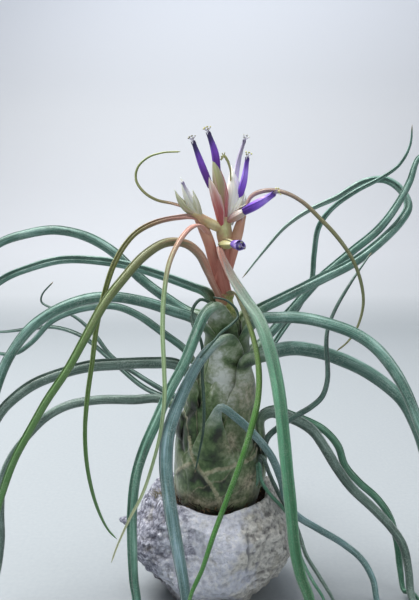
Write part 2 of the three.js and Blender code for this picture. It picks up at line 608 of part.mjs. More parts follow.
// Each flower's tube runs through stops, with its base inside a spike; `wide` is how wide it looks.
const FLOWERS = [
  {
    name: 'left_bud', wide: 2.8, stamens: 0, faded: true,
    stops: [[-8.5, 209.5, 5], [-11.5, 215, 5.5], [-14.5, 221, 6]],
  },
  { name: 'centre_left', wide: 3.7, stamens: 3, stops: [[0.6, 219, 2], [-4.4, 231.5, 3], [-8.8, 243.5, 4]] },
  { name: 'centre_right', wide: 4, stamens: 3, stops: [[4.4, 225.5, 2], [2.9, 238, 3], [-0.5, 248.5, 4]] },
  {
    name: 'right_faded', wide: 2.8, stamens: 2, faded: true,
    stops: [[14, 220, -4], [16, 234, -3.5], [19, 244, -3]],
  },
  {
    name: 'right_upper', wide: 3.6, stamens: 2,
    stops: [[14.4, 208.5, -2.8], [18.6, 221.5, 0], [20.7, 234.5, 1.5]],
  },
  {
    name: 'right_low', wide: 4.6, stamens: 2,
    stops: [[19, 205.7, 6.5], [27.2, 210.3, 11.5], [35.2, 215.3, 15]],
  },
  { name: 'front', wide: 4.4, stamens: 1, stops: [[13, 187.8, 15], [15.2, 187.4, 20], [16.8, 187, 26]] },
];
const TUBE_SIDES = 9;
const TUBE_STEPS = 4;
const TUBE_RADII = [0.36, 0.47, 0.52, 0.44, 0.38]; // along the tube, as shares of its width
const TUBE_MOUTH = 0.38;
const TUBE_WALL = 0.6;
const LEAST_BORE = 0.3;
const TUBE_BORE = 0.3; // how much of the tube, from its mouth, is open
const PETAL_TIP = 1.1; // how far the three petals' tips stand past the notches between them

// A tube of three rolled petals: up its outside, over its three-tipped mouth, and down its bore.
function tubeBody({ stops, wide }, grow = 0) {
  const frames = framesAlong(stops.map(seen), 2 * TUBE_STEPS, new THREE.Vector3(0, -1, 0), grow);
  const mouth = frames.at(-1);
  const ringOf = (frame, radius, tip) => Array.from({ length: TUBE_SIDES }, (_, j) => {
    const angle = (2 * Math.PI * j) / TUBE_SIDES;
    return offset(frame, radius, angle).addScaledVector(frame.ahead, tip * Math.cos(3 * angle));
  });
  const outside = frames.filter((_, i) => i % 2 === 0).map((frame, i, all) =>
    ringOf(frame, TUBE_RADII[i] * wide + grow, i === all.length - 1 ? PETAL_TIP : 0));
  const boreRadius = Math.max(TUBE_MOUTH * wide - TUBE_WALL, LEAST_BORE);
  const inside = frames.filter(({ place: at }) => at > 1 - TUBE_BORE).reverse()
    .map((frame) => ringOf(frame, boreRadius, frame === mouth ? PETAL_TIP : 0));
  return loft(grow ? outside : [...outside, ...inside]);
}

// The filaments rise as one bundle out of the bore and part at the mouth, each to its anther.
const FILAMENT_RADIUS = 0.36;
const ANTHER_RADIUS = 0.55;
const BUNDLE_RADIUS = 0.7; // or as much as the bore leaves room for
const STAMEN_REACH = 4.2; // past the mouth, for the longest
const STAMEN_STAGGER = 0.7; // how much shorter each next one is
const STAMEN_SPREAD = 1.9; // how far the anthers stand from the tube's axis
const LONE_STAMEN_SPREAD = 0.2;

function stamensBody({ stops, wide, stamens }) {
  const frames = framesAlong(stops.map(seen), 2 * TUBE_STEPS, new THREE.Vector3(0, -1, 0));
  const mouth = frames.at(-1);
  const low = frames.find(({ place: at }) => at > 1 - 0.75 * TUBE_BORE); // clear of the bore's floor
  const bundle = Math.min(TUBE_MOUTH * wide - TUBE_WALL - SOCKET_GAP, BUNDLE_RADIUS);
  const head = mouth.point.clone().addScaledVector(mouth.ahead, PETAL_TIP);
  const away = stamens > 1 ? STAMEN_SPREAD : LONE_STAMEN_SPREAD;
  const radii = [FILAMENT_RADIUS, FILAMENT_RADIUS, ANTHER_RADIUS];
  const filaments = Array.from({ length: stamens }, (_, i) => {
    const angle = (2 * Math.PI * (i + 0.25)) / stamens;
    const tip = offset(mouth, away, angle).addScaledVector(mouth.ahead, STAMEN_REACH - STAMEN_STAGGER * i);
    const neck = tip.clone().lerp(head, 0.3);
    return stem([mouth.point.clone().lerp(head, 0.45), neck, tip], radii, 2, 4);
  });
  return joined([stem([low.point, head], [bundle, bundle], 1, 5), ...filaments]);
}

// --- Bulb -----------------------------------------------------------------------------------

// The sheaths from the innermost, whose mouth is the highest, to the outermost.
const SHEATHS = LEAVES.filter((leaf) => leaf.wrap).sort((a, b) => b.root[1] - a.root[1]);

// How far the bulb's skin stands out from its mean radius: the step up to the outermost sheath that
// covers the place, and the swelling where each blade leaves its sheath.
function sheathRelief(azimuth, z) {
  let lift = -SHEATH_STEP * 0.7;
  let swell = 0;
  SHEATHS.forEach(({ root: [middle, mouth], wrap }, rank) => {
    const turn = Math.abs(THREE.MathUtils.euclideanModulo(azimuth - middle + 180, 360) - 180);
    const share = THREE.MathUtils.clamp((mouth + 2 - z) / (mouth + 2 - SHEATH_FOOT), 0, 1);
    const cover = THREE.MathUtils.smoothstep(wrap * share ** 0.6 - turn, -2, 6);
    const own = SHEATH_STEP * (rank / (SHEATHS.length - 1) - 0.7);
    lift = mix(lift, Math.max(lift, own), cover);
    const across = degrees(turn) * bulbAt(z).radius;
    swell = Math.max(swell, NECK_SWELL * Math.exp(-((across / 5.5) ** 2) - ((z - mouth + 4) / 7) ** 2));
  });
  return lift + swell;
}

function bulbBody(grow = 0) {
  const foot = BULB[0][0];
  const top = BULB.at(-1)[0];
  const rings = Array.from({ length: BULB_ROWS }, (_, i) => {
    const share = i / (BULB_ROWS - 1);
    const z = mix(foot, top, mix(share ** 1.25, share, 0.4));
    const calm = Math.min(1, (z - foot) / 8, (top - z) / 4); // the relief dies out at both ends
    return Array.from({ length: BULB_SIDES }, (_, j) => {
      const azimuth = (360 * j) / BULB_SIDES;
      return onBulb(azimuth, z, grow + calm * sheathRelief(azimuth, z));
    });
  });
  return loft(rings);
}

// --- Stone and root fibres ------------------------------------------------------------------

// The stone's lumps: a few waves round it and up it that do not repeat within its size.
function stoneLump(angle, z) {
  return STONE_LUMP * (0.42 * Math.sin(2 * angle + 0.6) + 0.4 * Math.sin(3 * angle + 1.9 + z / 13)
    + 0.34 * Math.sin(5 * angle - z / 7) + 0.24 * Math.sin(8 * angle + 2.2 + z / 4.5));
}

// How far from its middle the stone's flat faces let it reach, at an angle and height.
function faceReach(angle, z) {
  const above = z - STONE_MIDDLE_HEIGHT;
  return STONE_FACES.reduce((least, [azimuth, tilt, away]) => {
    const towards = Math.cos(degrees(tilt)) * Math.cos(angle - degrees(azimuth));
    const reach = (away - above * Math.sin(degrees(tilt))) / towards;
    return towards > 0.05 ? Math.min(least, reach) : least;
  }, Infinity);
}

// How far the small knob stands out from the stone's side, at an angle and height.
function knobAt(angle, z) {
  const aside = KNOB.away * Math.sin(angle - degrees(KNOB.azimuth));
  const behind = Math.cos(angle - degrees(KNOB.azimuth)) < 0;
  const off = Math.hypot(aside, z - KNOB.height) / KNOB.spread;
  return behind ? 0 : KNOB.reach * Math.exp(-(off ** 2));
}

function stoneBody() {
  const rings = STONE.map(([z, radius, rough], row) => Array.from({ length: STONE_SIDES }, (_, j) => {
    const angle = (2 * Math.PI * j) / STONE_SIDES;
    const inFoot = row < STONE_FOOT_ROWS;
    const inHollow = row > STONE_RIM_ROW;
    const clipped = inHollow || inFoot ? radius : Math.min(radius, faceReach(angle, z));
    const away = clipped + rough * stoneLump(angle, z) + (inHollow ? 0 : knobAt(angle, z));
    const rise = z > RIM_WAVES_ABOVE ? 1.2 * Math.cos(2 * angle) + 0.9 * Math.sin(5 * angle) : 0;
    const sideways = inHollow ? HOLLOW_LEAN : STONE_LEAN;
    const middle = inFoot ? 0 : sideways;
    return new THREE.Vector3(middle + away * Math.cos(angle), away * Math.sin(angle), z + rise);
  }));
  return loft(rings);
}

function fibresBody() {
  const draw = chance(7);
  const around = (angle, away, z) =>
    new THREE.Vector3(HOLLOW_LEAN + away * Math.cos(angle), away * Math.sin(angle), z);
  const section = Array.from({ length: MAT_SIDES + 1 }, (_, j) => {
    const turn = (2 * Math.PI * j) / MAT_SIDES;
    return new THREE.Vector2(MAT_RADIUS + MAT_THICK * Math.cos(turn), MAT_THICK * Math.sin(turn));
  });
  const mat = new THREE.LatheGeometry(section, MAT_STEPS)
    .rotateX(Math.PI / 2)
    .translate(HOLLOW_LEAN, 0, MAT_HEIGHT);
  const strands = Array.from({ length: FIBRES }, (_, i) => {
    const angle = (2 * Math.PI * (i + 0.6 * draw())) / FIBRES;
    const turn = (draw() - 0.5) * 0.3;
    const stops = [
      around(angle, MAT_RADIUS, MAT_HEIGHT - 0.3),
      around(angle + turn * 0.4, MAT_RADIUS + 0.9, MAT_HEIGHT + 4),
      around(angle + turn, MAT_RADIUS + 1.6 + draw(), MAT_HEIGHT + 7 + 2.5 * draw()),
    ];
    return stem(stops, [FIBRE_RADIUS, FIBRE_RADIUS, FIBRE_RADIUS], 4, 3);
  });
  return joined([mat, ...strands]);
}

// --- The plant on its stone -----------------------------------------------------------------

const socketOf = (body) => (piece) => body(piece, SOCKET_GAP);
const bractSockets = BRACTS.map(socketOf(bractBody));
const spikeSockets = SPIKES.map(socketOf(spikeBody));
const tubeSockets = FLOWERS.map(socketOf(tubeBody));

place('stone', stoneBody(), stoneGrey);
place('root_fibres', fibresBody(), fibreBrown);
place('bulb', cutBy(bulbBody(), [stalkBody(SOCKET_GAP), ...bractSockets]), bulbGreen);
place('flower_stalk', cutBy(stalkBody(), [...bractSockets, ...spikeSockets]), stalkPink);

// A leaf's sheath lies on the bulb, and under the sheaths of the leaves whose mouths are lower.
const skin = bulbBody(SOCKET_GAP);
for (const leaf of LEAVES) {
  const over = LEAVES.filter((other) => other.root[1] < leaf.root[1]).map(socketOf(leafBody));
  place(leaf.name, cutBy(leafBody(leaf), [skin, ...over]), leafGreen);
}
for (const bract of BRACTS) place(bract.name, bractBody(bract), bract.olive ? bractOlive : bractGreen);
for (const spike of SPIKES) {
  place(spike.name, cutBy(spikeBody(spike), [...tubeSockets, ...bractSockets]), spikePink);
}
for (const flower of FLOWERS) {
  place(`petals_${flower.name}`, tubeBody(flower), flower.faded ? petalFaded : petalViolet);
  if (flower.stamens) place(`stamens_${flower.name}`, stamensBody(flower), stamenYellow);
}

export default group;
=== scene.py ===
# %% [markdown]
# # An air plant in flower, seated in a stone
# The plant is a giant bulbous tillandsia: its leaf bases are inflated sheaths that clasp each other into a
# bulb, and each blade is a sheet rolled into a long tapering whip. It flowers from a short forked stalk, and
# it sits in the hollow of a gritty stone. Every shape below is a surface worked out with numpy from a few
# measured lengths. Lengths are millimetres until a mesh is made. X is to the right, Y is away from the
# camera, Z is up.

# %% Load the measured model
from itertools import product

import bpy
import numpy as np
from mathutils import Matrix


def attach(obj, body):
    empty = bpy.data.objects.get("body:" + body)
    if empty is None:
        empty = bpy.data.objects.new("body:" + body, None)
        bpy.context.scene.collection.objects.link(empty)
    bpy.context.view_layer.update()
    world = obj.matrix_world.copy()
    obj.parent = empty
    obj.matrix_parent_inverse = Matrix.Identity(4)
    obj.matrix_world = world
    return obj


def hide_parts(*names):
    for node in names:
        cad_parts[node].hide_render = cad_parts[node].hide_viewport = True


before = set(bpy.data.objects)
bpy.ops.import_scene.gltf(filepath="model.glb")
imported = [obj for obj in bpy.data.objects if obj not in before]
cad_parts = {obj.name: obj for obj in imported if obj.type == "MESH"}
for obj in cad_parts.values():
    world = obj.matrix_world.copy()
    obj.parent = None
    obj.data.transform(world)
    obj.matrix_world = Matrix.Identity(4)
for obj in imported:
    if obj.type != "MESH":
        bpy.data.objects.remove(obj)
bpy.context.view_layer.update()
MM = 0.001
print("measured model:", len(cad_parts), "nodes")

# %% [markdown]
# ## The camera
# The photo was taken about a third of a metre in front of the bulb, level with the flower stalk. The camera
# looks straight ahead and its frame is shifted down, as a view camera's is, so that upright things stay
# upright. The same sight point turns "where a thing is seen" into "where it is", in the function `seen`.

# %% Put the camera at the photo's sight point
EYE_AHEAD = 330.0
EYE_HEIGHT = 201.0
PHOTO_HEIGHT = 600  # pixels
FOCAL_PIXELS = 600
HORIZON_ROW = 220  # the pixel row that is level with the eye
SENSOR = 36.0

camera_data = bpy.data.cameras.new("photo_camera")
camera_data.sensor_fit = "VERTICAL"
camera_data.sensor_height = SENSOR
camera_data.lens = SENSOR * FOCAL_PIXELS / PHOTO_HEIGHT
camera_data.shift_y = (HORIZON_ROW - PHOTO_HEIGHT / 2) / PHOTO_HEIGHT
camera_data.clip_start = 0.01
camera = bpy.data.objects.new("photo_camera", camera_data)
camera.location = (0, -EYE_AHEAD * MM, EYE_HEIGHT * MM)
camera.rotation_euler = (np.pi / 2, 0, 0)
bpy.context.scene.collection.objects.link(camera)
bpy.context.scene.camera = camera
print("camera lens", round(camera_data.lens, 1), "mm, shift", round(camera_data.shift_y, 3))


def seen(stops):
    """The points seen at (across, up) of the upright plane y = 0, slid `near` towards the eye: a point that
    is nearer is smaller by k = (330 - near) / 330, so x = across k, y = -near, z = 201 + (up - 201) k."""
    across, up, near = np.asarray(stops, float).reshape(-1, 3).T
    k = (EYE_AHEAD - near) / EYE_AHEAD
    return np.column_stack([across * k, -near, EYE_HEIGHT + (up - EYE_HEIGHT) * k])


# %% [markdown]
# ## Surfaces
# A surface is kept as points, four-cornered faces, three-cornered faces and named values on its points. The
# named values, such as how far along a leaf a point lies, become mesh attributes, and the finishes read
# them. Two builders make every piece: `tube` closes rings of points into a body, and `shell` gives a sheet
# its back.

# %% Helpers that turn grids of points into closed surfaces
def grid_quads(rows, columns, around):
    """Faces (a, b, b + columns, a + columns) of a grid; `around` joins the last column to the first."""
    i = np.arange(rows - 1)[:, None] * columns
    j = np.arange(columns if around else columns - 1)[None, :]
    a = i + j
    b = i + (j + 1) % columns
    return np.stack([a, b, b + columns, a + columns], -1).reshape(-1, 4)


def tube(rings, **fields):
    """A closed body through rings of points, counter-clockwise about the way on, with a fan over each end."""
    rows, columns = rings.shape[:2]
    points = np.vstack([rings.reshape(-1, 3), rings[0].mean(0), rings[-1].mean(0)])
    here = np.arange(columns)
    after = (here + 1) % columns
    first, last = rows * columns, rows * columns + 1
    top = (rows - 1) * columns
    fans = [np.column_stack([np.full(columns, first), after, here]),
            np.column_stack([np.full(columns, last), top + here, top + after])]
    values = {}
    for name, field in fields.items():
        field = np.broadcast_to(field, (rows, columns))
        values[name] = np.concatenate([field.ravel(), [field[0].mean(), field[-1].mean()]])
    return {"points": points, "quads": grid_quads(rows, columns, True), "tris": np.vstack(fans),
            "values": values}


def shell(outer, inner, **fields):
    """A closed sheet: the outer grid of points, the inner grid turned round, and a rim along all four
    sides."""
    rows, columns = outer.shape[:2]
    count = rows * columns
    index = np.arange(count).reshape(rows, columns)
    faces = grid_quads(rows, columns, False)
    low, high, left, right = index[0], index[-1], index[:, 0], index[:, -1]
    rims = [np.column_stack([low[1:], low[:-1], low[:-1] + count, low[1:] + count]),
            np.column_stack([high[:-1], high[1:], high[1:] + count, high[:-1] + count]),
            np.column_stack([left[:-1], left[1:], left[1:] + count, left[:-1] + count]),
            np.column_stack([right[1:], right[:-1], right[:-1] + count, right[1:] + count])]
    values = {name: np.tile(np.broadcast_to(field, (rows, columns)).ravel(), 2)
              for name, field in fields.items()}
    return {"points": np.vstack([outer.reshape(-1, 3), inner.reshape(-1, 3)]),
            "quads": np.vstack([faces, faces[:, ::-1] + count, *rims]),
            "tris": np.zeros((0, 3), int), "values": values}


def fuse(parts):
    """Several surfaces as one: their points in a row, and their faces' corners counted on from there."""
    starts = np.cumsum([0] + [len(part["points"]) for part in parts[:-1]])
    names = sorted({name for part in parts for name in part["values"]})
    return {"points": np.vstack([part["points"] for part in parts]),
            "quads": np.vstack([part["quads"] + start for part, start in zip(parts, starts)]),
            "tris": np.vstack([part["tris"] + start for part, start in zip(parts, starts)]),
            "values": {name: np.concatenate([part["values"].get(name, np.zeros(len(part["points"])))
                                             for part in parts]) for name in names}}


def add_piece(name, parts, material, slot, *nodes):
    """Makes one object of the surfaces, in metres, and lets it stand for the measured nodes that it
    covers."""
    whole = fuse(parts)
    mesh = bpy.data.meshes.new(name)
    mesh.from_pydata((whole["points"] * MM).tolist(), [], whole["quads"].tolist() + whole["tris"].tolist())
    for field, values in whole["values"].items():
        mesh.attributes.new(field, "FLOAT", "POINT").data.foreach_set("value", values.astype(np.float32))
    mesh.shade_smooth()
    mesh.materials.append(material)
    made = bpy.data.objects.new(name, mesh)
    bpy.context.scene.collection.objects.link(made)
    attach(made, "root")
    if nodes:
        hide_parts(*nodes)
    print(f"{name}: {2 * len(whole['quads']) + len(whole['tris'])} triangles")


# %% [markdown]
# ## Curves and chance
# Stems and leaves run along smooth curves through a few chosen stops. A centripetal Catmull-Rom curve suits
# them, because it passes through every stop and doesn't overshoot where stops crowd. Irregular surfaces need
# numbers that look like chance but are the same on every run, so they come from a formula on a lattice.

# %% Curves, frames along them, and value noise
SPAN_CUTS = 30  # fine places between two stops


def smooth_route(stops, step):
    """A curve through stops, cut every `step`. From stop b to stop c it is, for w from 0 to 1,
    b + m w + (3 (c - b) - 2 m - n) w^2 + (2 (b - c) + m + n) w^3, where the slopes m and n weigh each
    chord by the square root of its length."""
    stops = np.asarray(stops, float)
    stops = np.vstack([2 * stops[0] - stops[1], stops, 2 * stops[-1] - stops[-2]])
    a, b, c, d = stops[:-3], stops[1:-2], stops[2:-1], stops[3:]
    root = [np.sqrt(np.linalg.norm(q - p, axis=1))[:, None] for p, q in ((a, b), (b, c), (c, d))]
    m = ((b - a) / root[0] - (c - a) / (root[0] + root[1]) + (c - b) / root[1]) * root[1]
    n = ((c - b) / root[1] - (d - b) / (root[1] + root[2]) + (d - c) / root[2]) * root[1]
    w = np.linspace(0, 1, SPAN_CUTS, endpoint=False)[None, :, None]
    b, c, m, n = (x[:, None, :] for x in (b, c, m, n))
    fine = b + m * w + (3 * (c - b) - 2 * m - n) * w**2 + (2 * (b - c) + m + n) * w**3
    fine = np.vstack([fine.reshape(-1, 3), stops[-2]])
    length = np.concatenate([[0], np.cumsum(np.linalg.norm(np.diff(fine, axis=0), axis=1))])
    along = np.linspace(0, length[-1], max(4, int(round(length[-1] / step)) + 1))
    return np.column_stack([np.interp(along, length, fine[:, i]) for i in range(3)]), along


def framed(points, out):
    """At each point, the way ahead, a way out that turns as little as it can, and the way aside of both."""
    ahead = np.gradient(points, axis=0)
    ahead /= np.linalg.norm(ahead, axis=1)[:, None]
    outs = np.empty_like(points)
    out = np.asarray(out, float)
    for i, way in enumerate(ahead):
        out = out - way * (out @ way)
        out = out / np.linalg.norm(out)
        outs[i] = out
    return ahead, outs, np.cross(ahead, outs)


def spread(share, values):
    """A smooth curve through values that are spread evenly from a share of 0 to a share of 1."""
    return through(share, np.linspace(0, 1, len(values)), values)


def carried(points, outs, out_by, aside, aside_by):
    """Rings about a route: each of its points, moved out by one grid of lengths and aside by another."""
    return points[:, None] + out_by[..., None] * outs[:, None] + aside_by[..., None] * aside[:, None]


def lumps(points, size, seed=0):
    """Value noise from -1 to 1: every corner of a lattice of cubes `size` wide has its own chance number,
    and a point blends the eight round it by 3 t^2 - 2 t^3 of its place between them. The large numbers only
    stir the corner's place, so that neighbours get numbers with nothing in common."""
    q = np.asarray(points, float) / size
    base = np.floor(q).astype(np.int64)
    t = q - base
    t = t * t * (3 - 2 * t)
    total = np.zeros(q.shape[:-1])
    for corner in product((0, 1), repeat=3):
        c = base + np.array(corner)
        h = (c[..., 0] * 73856093) ^ (c[..., 1] * 19349663) ^ (c[..., 2] * 83492791) ^ (seed * 2654435)
        h = (h & 0xFFFFFFF) * 1103515245 % 0x7FFFFFFF
        h = (h ^ (h >> 11)) * 22695477 % 0x7FFFFFFF
        weight = np.prod(np.where(np.array(corner) == 1, t, 1 - t), axis=-1)
        total += weight * (h / 0x7FFFFFFF * 2 - 1)
    return total


def at(x, y, z):
    """Points from their three coordinates, which may be numbers, rows, columns or whole grids."""
    return np.stack(np.broadcast_arrays(x, y, z), -1)


def ease(value, low, high):
    """0 below `low`, 1 above `high`, and 3 t^2 - 2 t^3 between them."""
    t = np.clip((value - low) / (high - low), 0, 1)
    return t * t * (3 - 2 * t)


def through(x, xs, ys):
    """A smooth curve through the rows (xs, ys): a cubic between each two, with slopes of their neighbours."""
    xs, ys = np.asarray(xs, float), np.asarray(ys, float)
    slopes = np.gradient(ys, xs)
    i = np.clip(np.searchsorted(xs, x) - 1, 0, len(xs) - 2)
    wide = xs[i + 1] - xs[i]
    t = np.clip((x - xs[i]) / wide, 0, 1)
    rise = ys[i + 1] - ys[i]
    m, n = slopes[i] * wide, slopes[i + 1] * wide
    return ys[i] + m * t + (3 * rise - 2 * m - n) * t**2 + (m + n - 2 * rise) * t**3


# %% [markdown]
# ## Finishes: wires through a shader tree
# A finish is arithmetic on masks: so much of one colour where a line runs, so much of another where dust
# lies. Placed node by node it is hard to read, so an output is wrapped here as a wire, and sums and products
# of wires are written as sums and products. Each of them still is a plain Math node.

# %% Wires that can be added and multiplied
def tint(code):
    """A colour from its six-digit sRGB code, as the linear red, green, blue and alpha that shaders take."""
    s = np.array([int(code[i:i + 2], 16) / 255 for i in (1, 3, 5)])
    linear = np.where(s <= 0.04045, s / 12.92, ((s + 0.055) / 1.055) ** 2.4)
    return (*map(float, linear), 1.0)


def feed(socket, value):
    """Leads a wire into a socket, or sets a plain value on it."""
    if isinstance(value, Wire):
        socket.id_data.links.new(value.socket, socket)
    else:
        socket.default_value = value


def node(kind, inputs, out=0, **settings):
    """The output `out` of a new node, in the tree that its wires run in. Inputs go by their place or name."""
    tree = next(value.socket.id_data for value in inputs.values() if isinstance(value, Wire))
    made = tree.nodes.new("ShaderNode" + kind)
    for name, value in settings.items():
        setattr(made, name, value)
    for place, value in inputs.items():
        feed(made.inputs[place], value)
    return Wire(made.outputs[out])


class Wire:
    """An output of a node. wire["Name"] is another output of the same node."""

    def __init__(self, socket):
        self.socket = socket

    def __getitem__(self, name):
        return Wire(self.socket.node.outputs[name])

    def __add__(self, other):
        return node("Math", {0: self, 1: other}, operation="ADD")

    def __sub__(self, other):
        return node("Math", {0: self, 1: other}, operation="SUBTRACT")

    def __rsub__(self, other):
        return node("Math", {0: other, 1: self}, operation="SUBTRACT")

    def __mul__(self, other):
        return node("Math", {0: self, 1: other}, operation="MULTIPLY")


def mixed(share, a, b, blend="MIX"):
    """Colour a, and this share of colour b."""
    return node("Mix", {0: share, 6: a, 7: b}, 2, data_type="RGBA", blend_type=blend)


def stepped(value, low, high):
    """The value stretched so that `low` is 0 and `high` is 1, with soft ends."""
    return node("MapRange", {"Value": value, "From Min": low, "From Max": high},
                interpolation_type="SMOOTHSTEP")


def ramp(share, *stops):
    """A colour ramp through (place, colour code) stops."""
    made = node("ValToRGB", {"Fac": share})
    bar = made.socket.node.color_ramp
    for place, code in stops[2:]:
        bar.elements.new(place)
    for element, (place, code) in zip(bar.elements, stops):
        element.position = place
        element.color = tint(code)
    return made


def noise(vector, scale, detail=2.0, roughness=0.5):
    return node("TexNoise", {"Vector": vector, "Scale": scale, "Detail": detail, "Roughness": roughness})


# %% [markdown]
# ## Finishes: the shared effects
# Four effects show on more than one surface, so each is a node group: fine lines along a leaf, the pale dust
# of scales that an air plant drinks through, papery margins, and soft blotches. A group only puts out masks.
# Each material mixes its own colours with them.

# %% An empty group
def new_group(name, inputs, outputs):
    """An empty shader group. Its inputs {name: value} are numbers, or vectors where the value is None."""
    tree = bpy.data.node_groups.new(name, "ShaderNodeTree")
    for label, value in inputs.items():
        kind = "NodeSocketVector" if value is None else "NodeSocketFloat"
        socket = tree.interface.new_socket(label, in_out="INPUT", socket_type=kind)
        if value is not None:
            socket.default_value = value
    for label in outputs:
        tree.interface.new_socket(label, in_out="OUTPUT", socket_type="NodeSocketFloat")
    return tree, Wire(tree.nodes.new("NodeGroupInput").outputs[0]), tree.nodes.new("NodeGroupOutput").inputs

# %% Fine lines and broad streaks along a leaf, from the millimetres across it and along it
leaf_lines, given, results = new_group("leaf lines", {"Across": 0.0, "Along": 0.0, "Per mm": 2.5},
                                       ["Lines", "Streaks"])
fine = node("CombineXYZ", {"X": given["Across"] * given["Per mm"], "Y": given["Along"] * 0.05})
broad = node("CombineXYZ", {"X": given["Across"] * 0.55, "Y": given["Along"] * 0.035})
feed(results["Lines"], stepped(noise(fine, 1.0), 0.3, 0.7))
feed(results["Streaks"], stepped(noise(broad, 1.0, 3.0, 0.6), 0.3, 0.7))

# %% The pale dust of drinking scales: specks half a millimetre apart, thicker in soft patches
scale_dust, given, results = new_group("scale dust", {"Vector": None, "Amount": 0.5}, ["Dust"])
specks = stepped(noise(given["Vector"], 1900.0, 1.0), 0.42, 0.66)
patches = stepped(noise(given["Vector"], 120.0, 3.0, 0.6), 0.35, 0.7)
feed(results["Dust"], specks * (patches * 0.75 + 0.25) * given["Amount"])

# %% A papery margin: a mask that is 1 at the very edge and breaks up a little way in
papery_margin, given, results = new_group("papery margin", {"Vector": None, "Margin": 0.0, "Reach": 0.5},
                                          ["Mask"])
edge = given["Margin"] + (noise(given["Vector"], 500.0, 3.0, 0.6) - 0.5) * 0.5
feed(results["Mask"], stepped(edge, given["Reach"], given["Reach"] + 0.3))

# %% Soft blotches at two sizes
blotches, given, results = new_group("blotches", {"Vector": None, "Per m": 80.0}, ["Large", "Small"])
feed(results["Large"], stepped(noise(given["Vector"], given["Per m"], 3.0, 0.55), 0.3, 0.7))
feed(results["Small"], stepped(noise(given["Vector"], given["Per m"] * 6.0, 3.0, 0.65), 0.3, 0.7))
print("shared effects:", [group.name for group in bpy.data.node_groups])


# %% [markdown]
# ## Finishes: the start of every material
# A material here is one Principled shader. Its colour, roughness and bump are fed from masks, and anything
# that is the same all over, such as a soft sheen from dust, is set on the shader itself.

# %% A finish: a material while its nodes are being placed
class Finish:
    """A material in the making. Its `lines`, `spots`, `dust` and `paper` place the shared effects, `field`
    reads a value from the piece, and `done` gives the material."""

    def __init__(self, name, **settings):
        self.material = bpy.data.materials.new(name)
        self.material.use_nodes = True
        self.nodes = self.material.node_tree.nodes
        self.nodes.clear()
        self.shader = self.nodes.new("ShaderNodeBsdfPrincipled")
        self.set(**{"Roughness": 0.55, "Sheen_Roughness": 0.45, "Specular_IOR_Level": 0.35, **settings})
        feed(self.nodes.new("ShaderNodeOutputMaterial").inputs["Surface"], Wire(self.shader.outputs[0]))
        self.place = Wire(self.nodes.new("ShaderNodeTexCoord").outputs["Object"])

    def set(self, **inputs):
        """Sets or feeds the shader's inputs by their names, with _ for a space."""
        for name, value in inputs.items():
            feed(self.shader.inputs[name.replace("_", " ")], value)

    def field(self, name):
        """A named value that the piece carries on its points."""
        made = self.nodes.new("ShaderNodeAttribute")
        made.attribute_name = name
        return Wire(made.outputs["Fac"])

    def effect(self, group, inputs):
        """A shared effect, placed with its own inputs."""
        made = self.nodes.new("ShaderNodeGroup")
        made.node_tree = group
        for name, value in inputs.items():
            feed(made.inputs[name], value)
        return Wire(made.outputs[0])

    def lines(self, per_mm):
        return self.effect(leaf_lines, {"Across": self.field("across"), "Along": self.field("along"),
                                        "Per mm": per_mm})

    def spots(self, per_m):
        return self.effect(blotches, {"Vector": self.place, "Per m": per_m})

    def dust(self, amount):
        return self.effect(scale_dust, {"Vector": self.place, "Amount": amount})

    def paper(self):
        return self.effect(papery_margin, {"Vector": self.place, "Margin": self.field("margin")})

    def done(self, colour, height, depth=0.0003, strength=0.4, **inputs):
        """Feeds the colour, and a bump `depth` metres high, and gives the material."""
        bump = node("Bump", {"Height": height, "Distance": depth, "Strength": strength})
        self.set(Base_Color=colour, Normal=bump, **inputs)
        return self.material


# %% [markdown]
# ## Finishes: leaves and their sheaths
# A blade is teal with darker lines along it and pale dust on its back. Painted shade darkens its channel,
# and its back where that turns down as the blade arches. Its sheath is greyer: silvery where the dust is
# thick, dark green in patches, brown at the bulb's foot, and cream along its papery margin, with painted
# light on its upper domes and painted shade in its creases and round its foot. One material does both,
# because the real leaf is one piece, and the value `sheath` says where the one turns into the other.

# %% The leaf material, in seven tones
def leaf_material(name, dark, middle, light, dust):
    finish = Finish(name, Sheen_Weight=0.3, Specular_IOR_Level=0.5)
    lines, spots = finish.lines(2.2), finish.spots(70.0)
    blade = ramp(lines["Lines"] * 0.34 + (lines["Streaks"] * 0.36 + spots["Large"] * 0.3),
                 (0.08, dark), (0.5, middle), (0.92, light))
    # Painted shade: the blade's channel is darkened.
    blade = mixed(finish.field("groove") * 0.3, blade, tint(dark))
    # Painted shade: the back, which faces down where the blade arches, is darkened.
    blade = mixed(finish.field("back") * 0.55, blade, tint(dark))
    blade = mixed(finish.dust(dust), blade, tint("#c4d2cc"))
    blade = mixed(finish.field("fade"), blade, tint("#9fb3aa"))
    blade = mixed(stepped(finish.field("share"), 0.975, 1.0), blade, tint("#8a7a58"))

    # The tone carries the skin patches' painted light and shade.
    tone = finish.field("tone") + spots["Small"] * 0.22 + (spots["Large"] - 0.42) * 0.4
    # Painted shade: the creases are darkened.
    skin = ramp(tone - finish.field("crease") * 0.5,
                (0.04, "#131f0c"), (0.26, "#314a25"), (0.5, "#5c744a"), (0.74, "#95a288"), (1.0, "#d6dcd6"))
    warm = finish.field("warm") * (spots["Small"] * 0.6 + 0.4)
    skin = mixed(warm, skin, ramp(spots["Small"], (0.0, "#82755f"), (1.0, "#b9ad98")))
    fold = stepped(finish.field("fold") + spots["Small"] * 0.25, 0.45, 0.9)
    pale = node("Math", {0: finish.paper() * 0.4, 1: fold * 0.8}, operation="MAXIMUM")
    skin = mixed(pale, skin, ramp(spots["Small"], (0.0, "#7d7a5c"), (1.0, "#b4b096")))

    on_sheath = finish.field("sheath")
    ridges = lines["Lines"] * 0.6 * (1.0 - on_sheath * 0.8) + spots["Small"] * 0.5
    return finish.done(mixed(on_sheath, blade, skin), ridges, strength=0.45,
                       Roughness=spots["Small"] * 0.2 + 0.38)


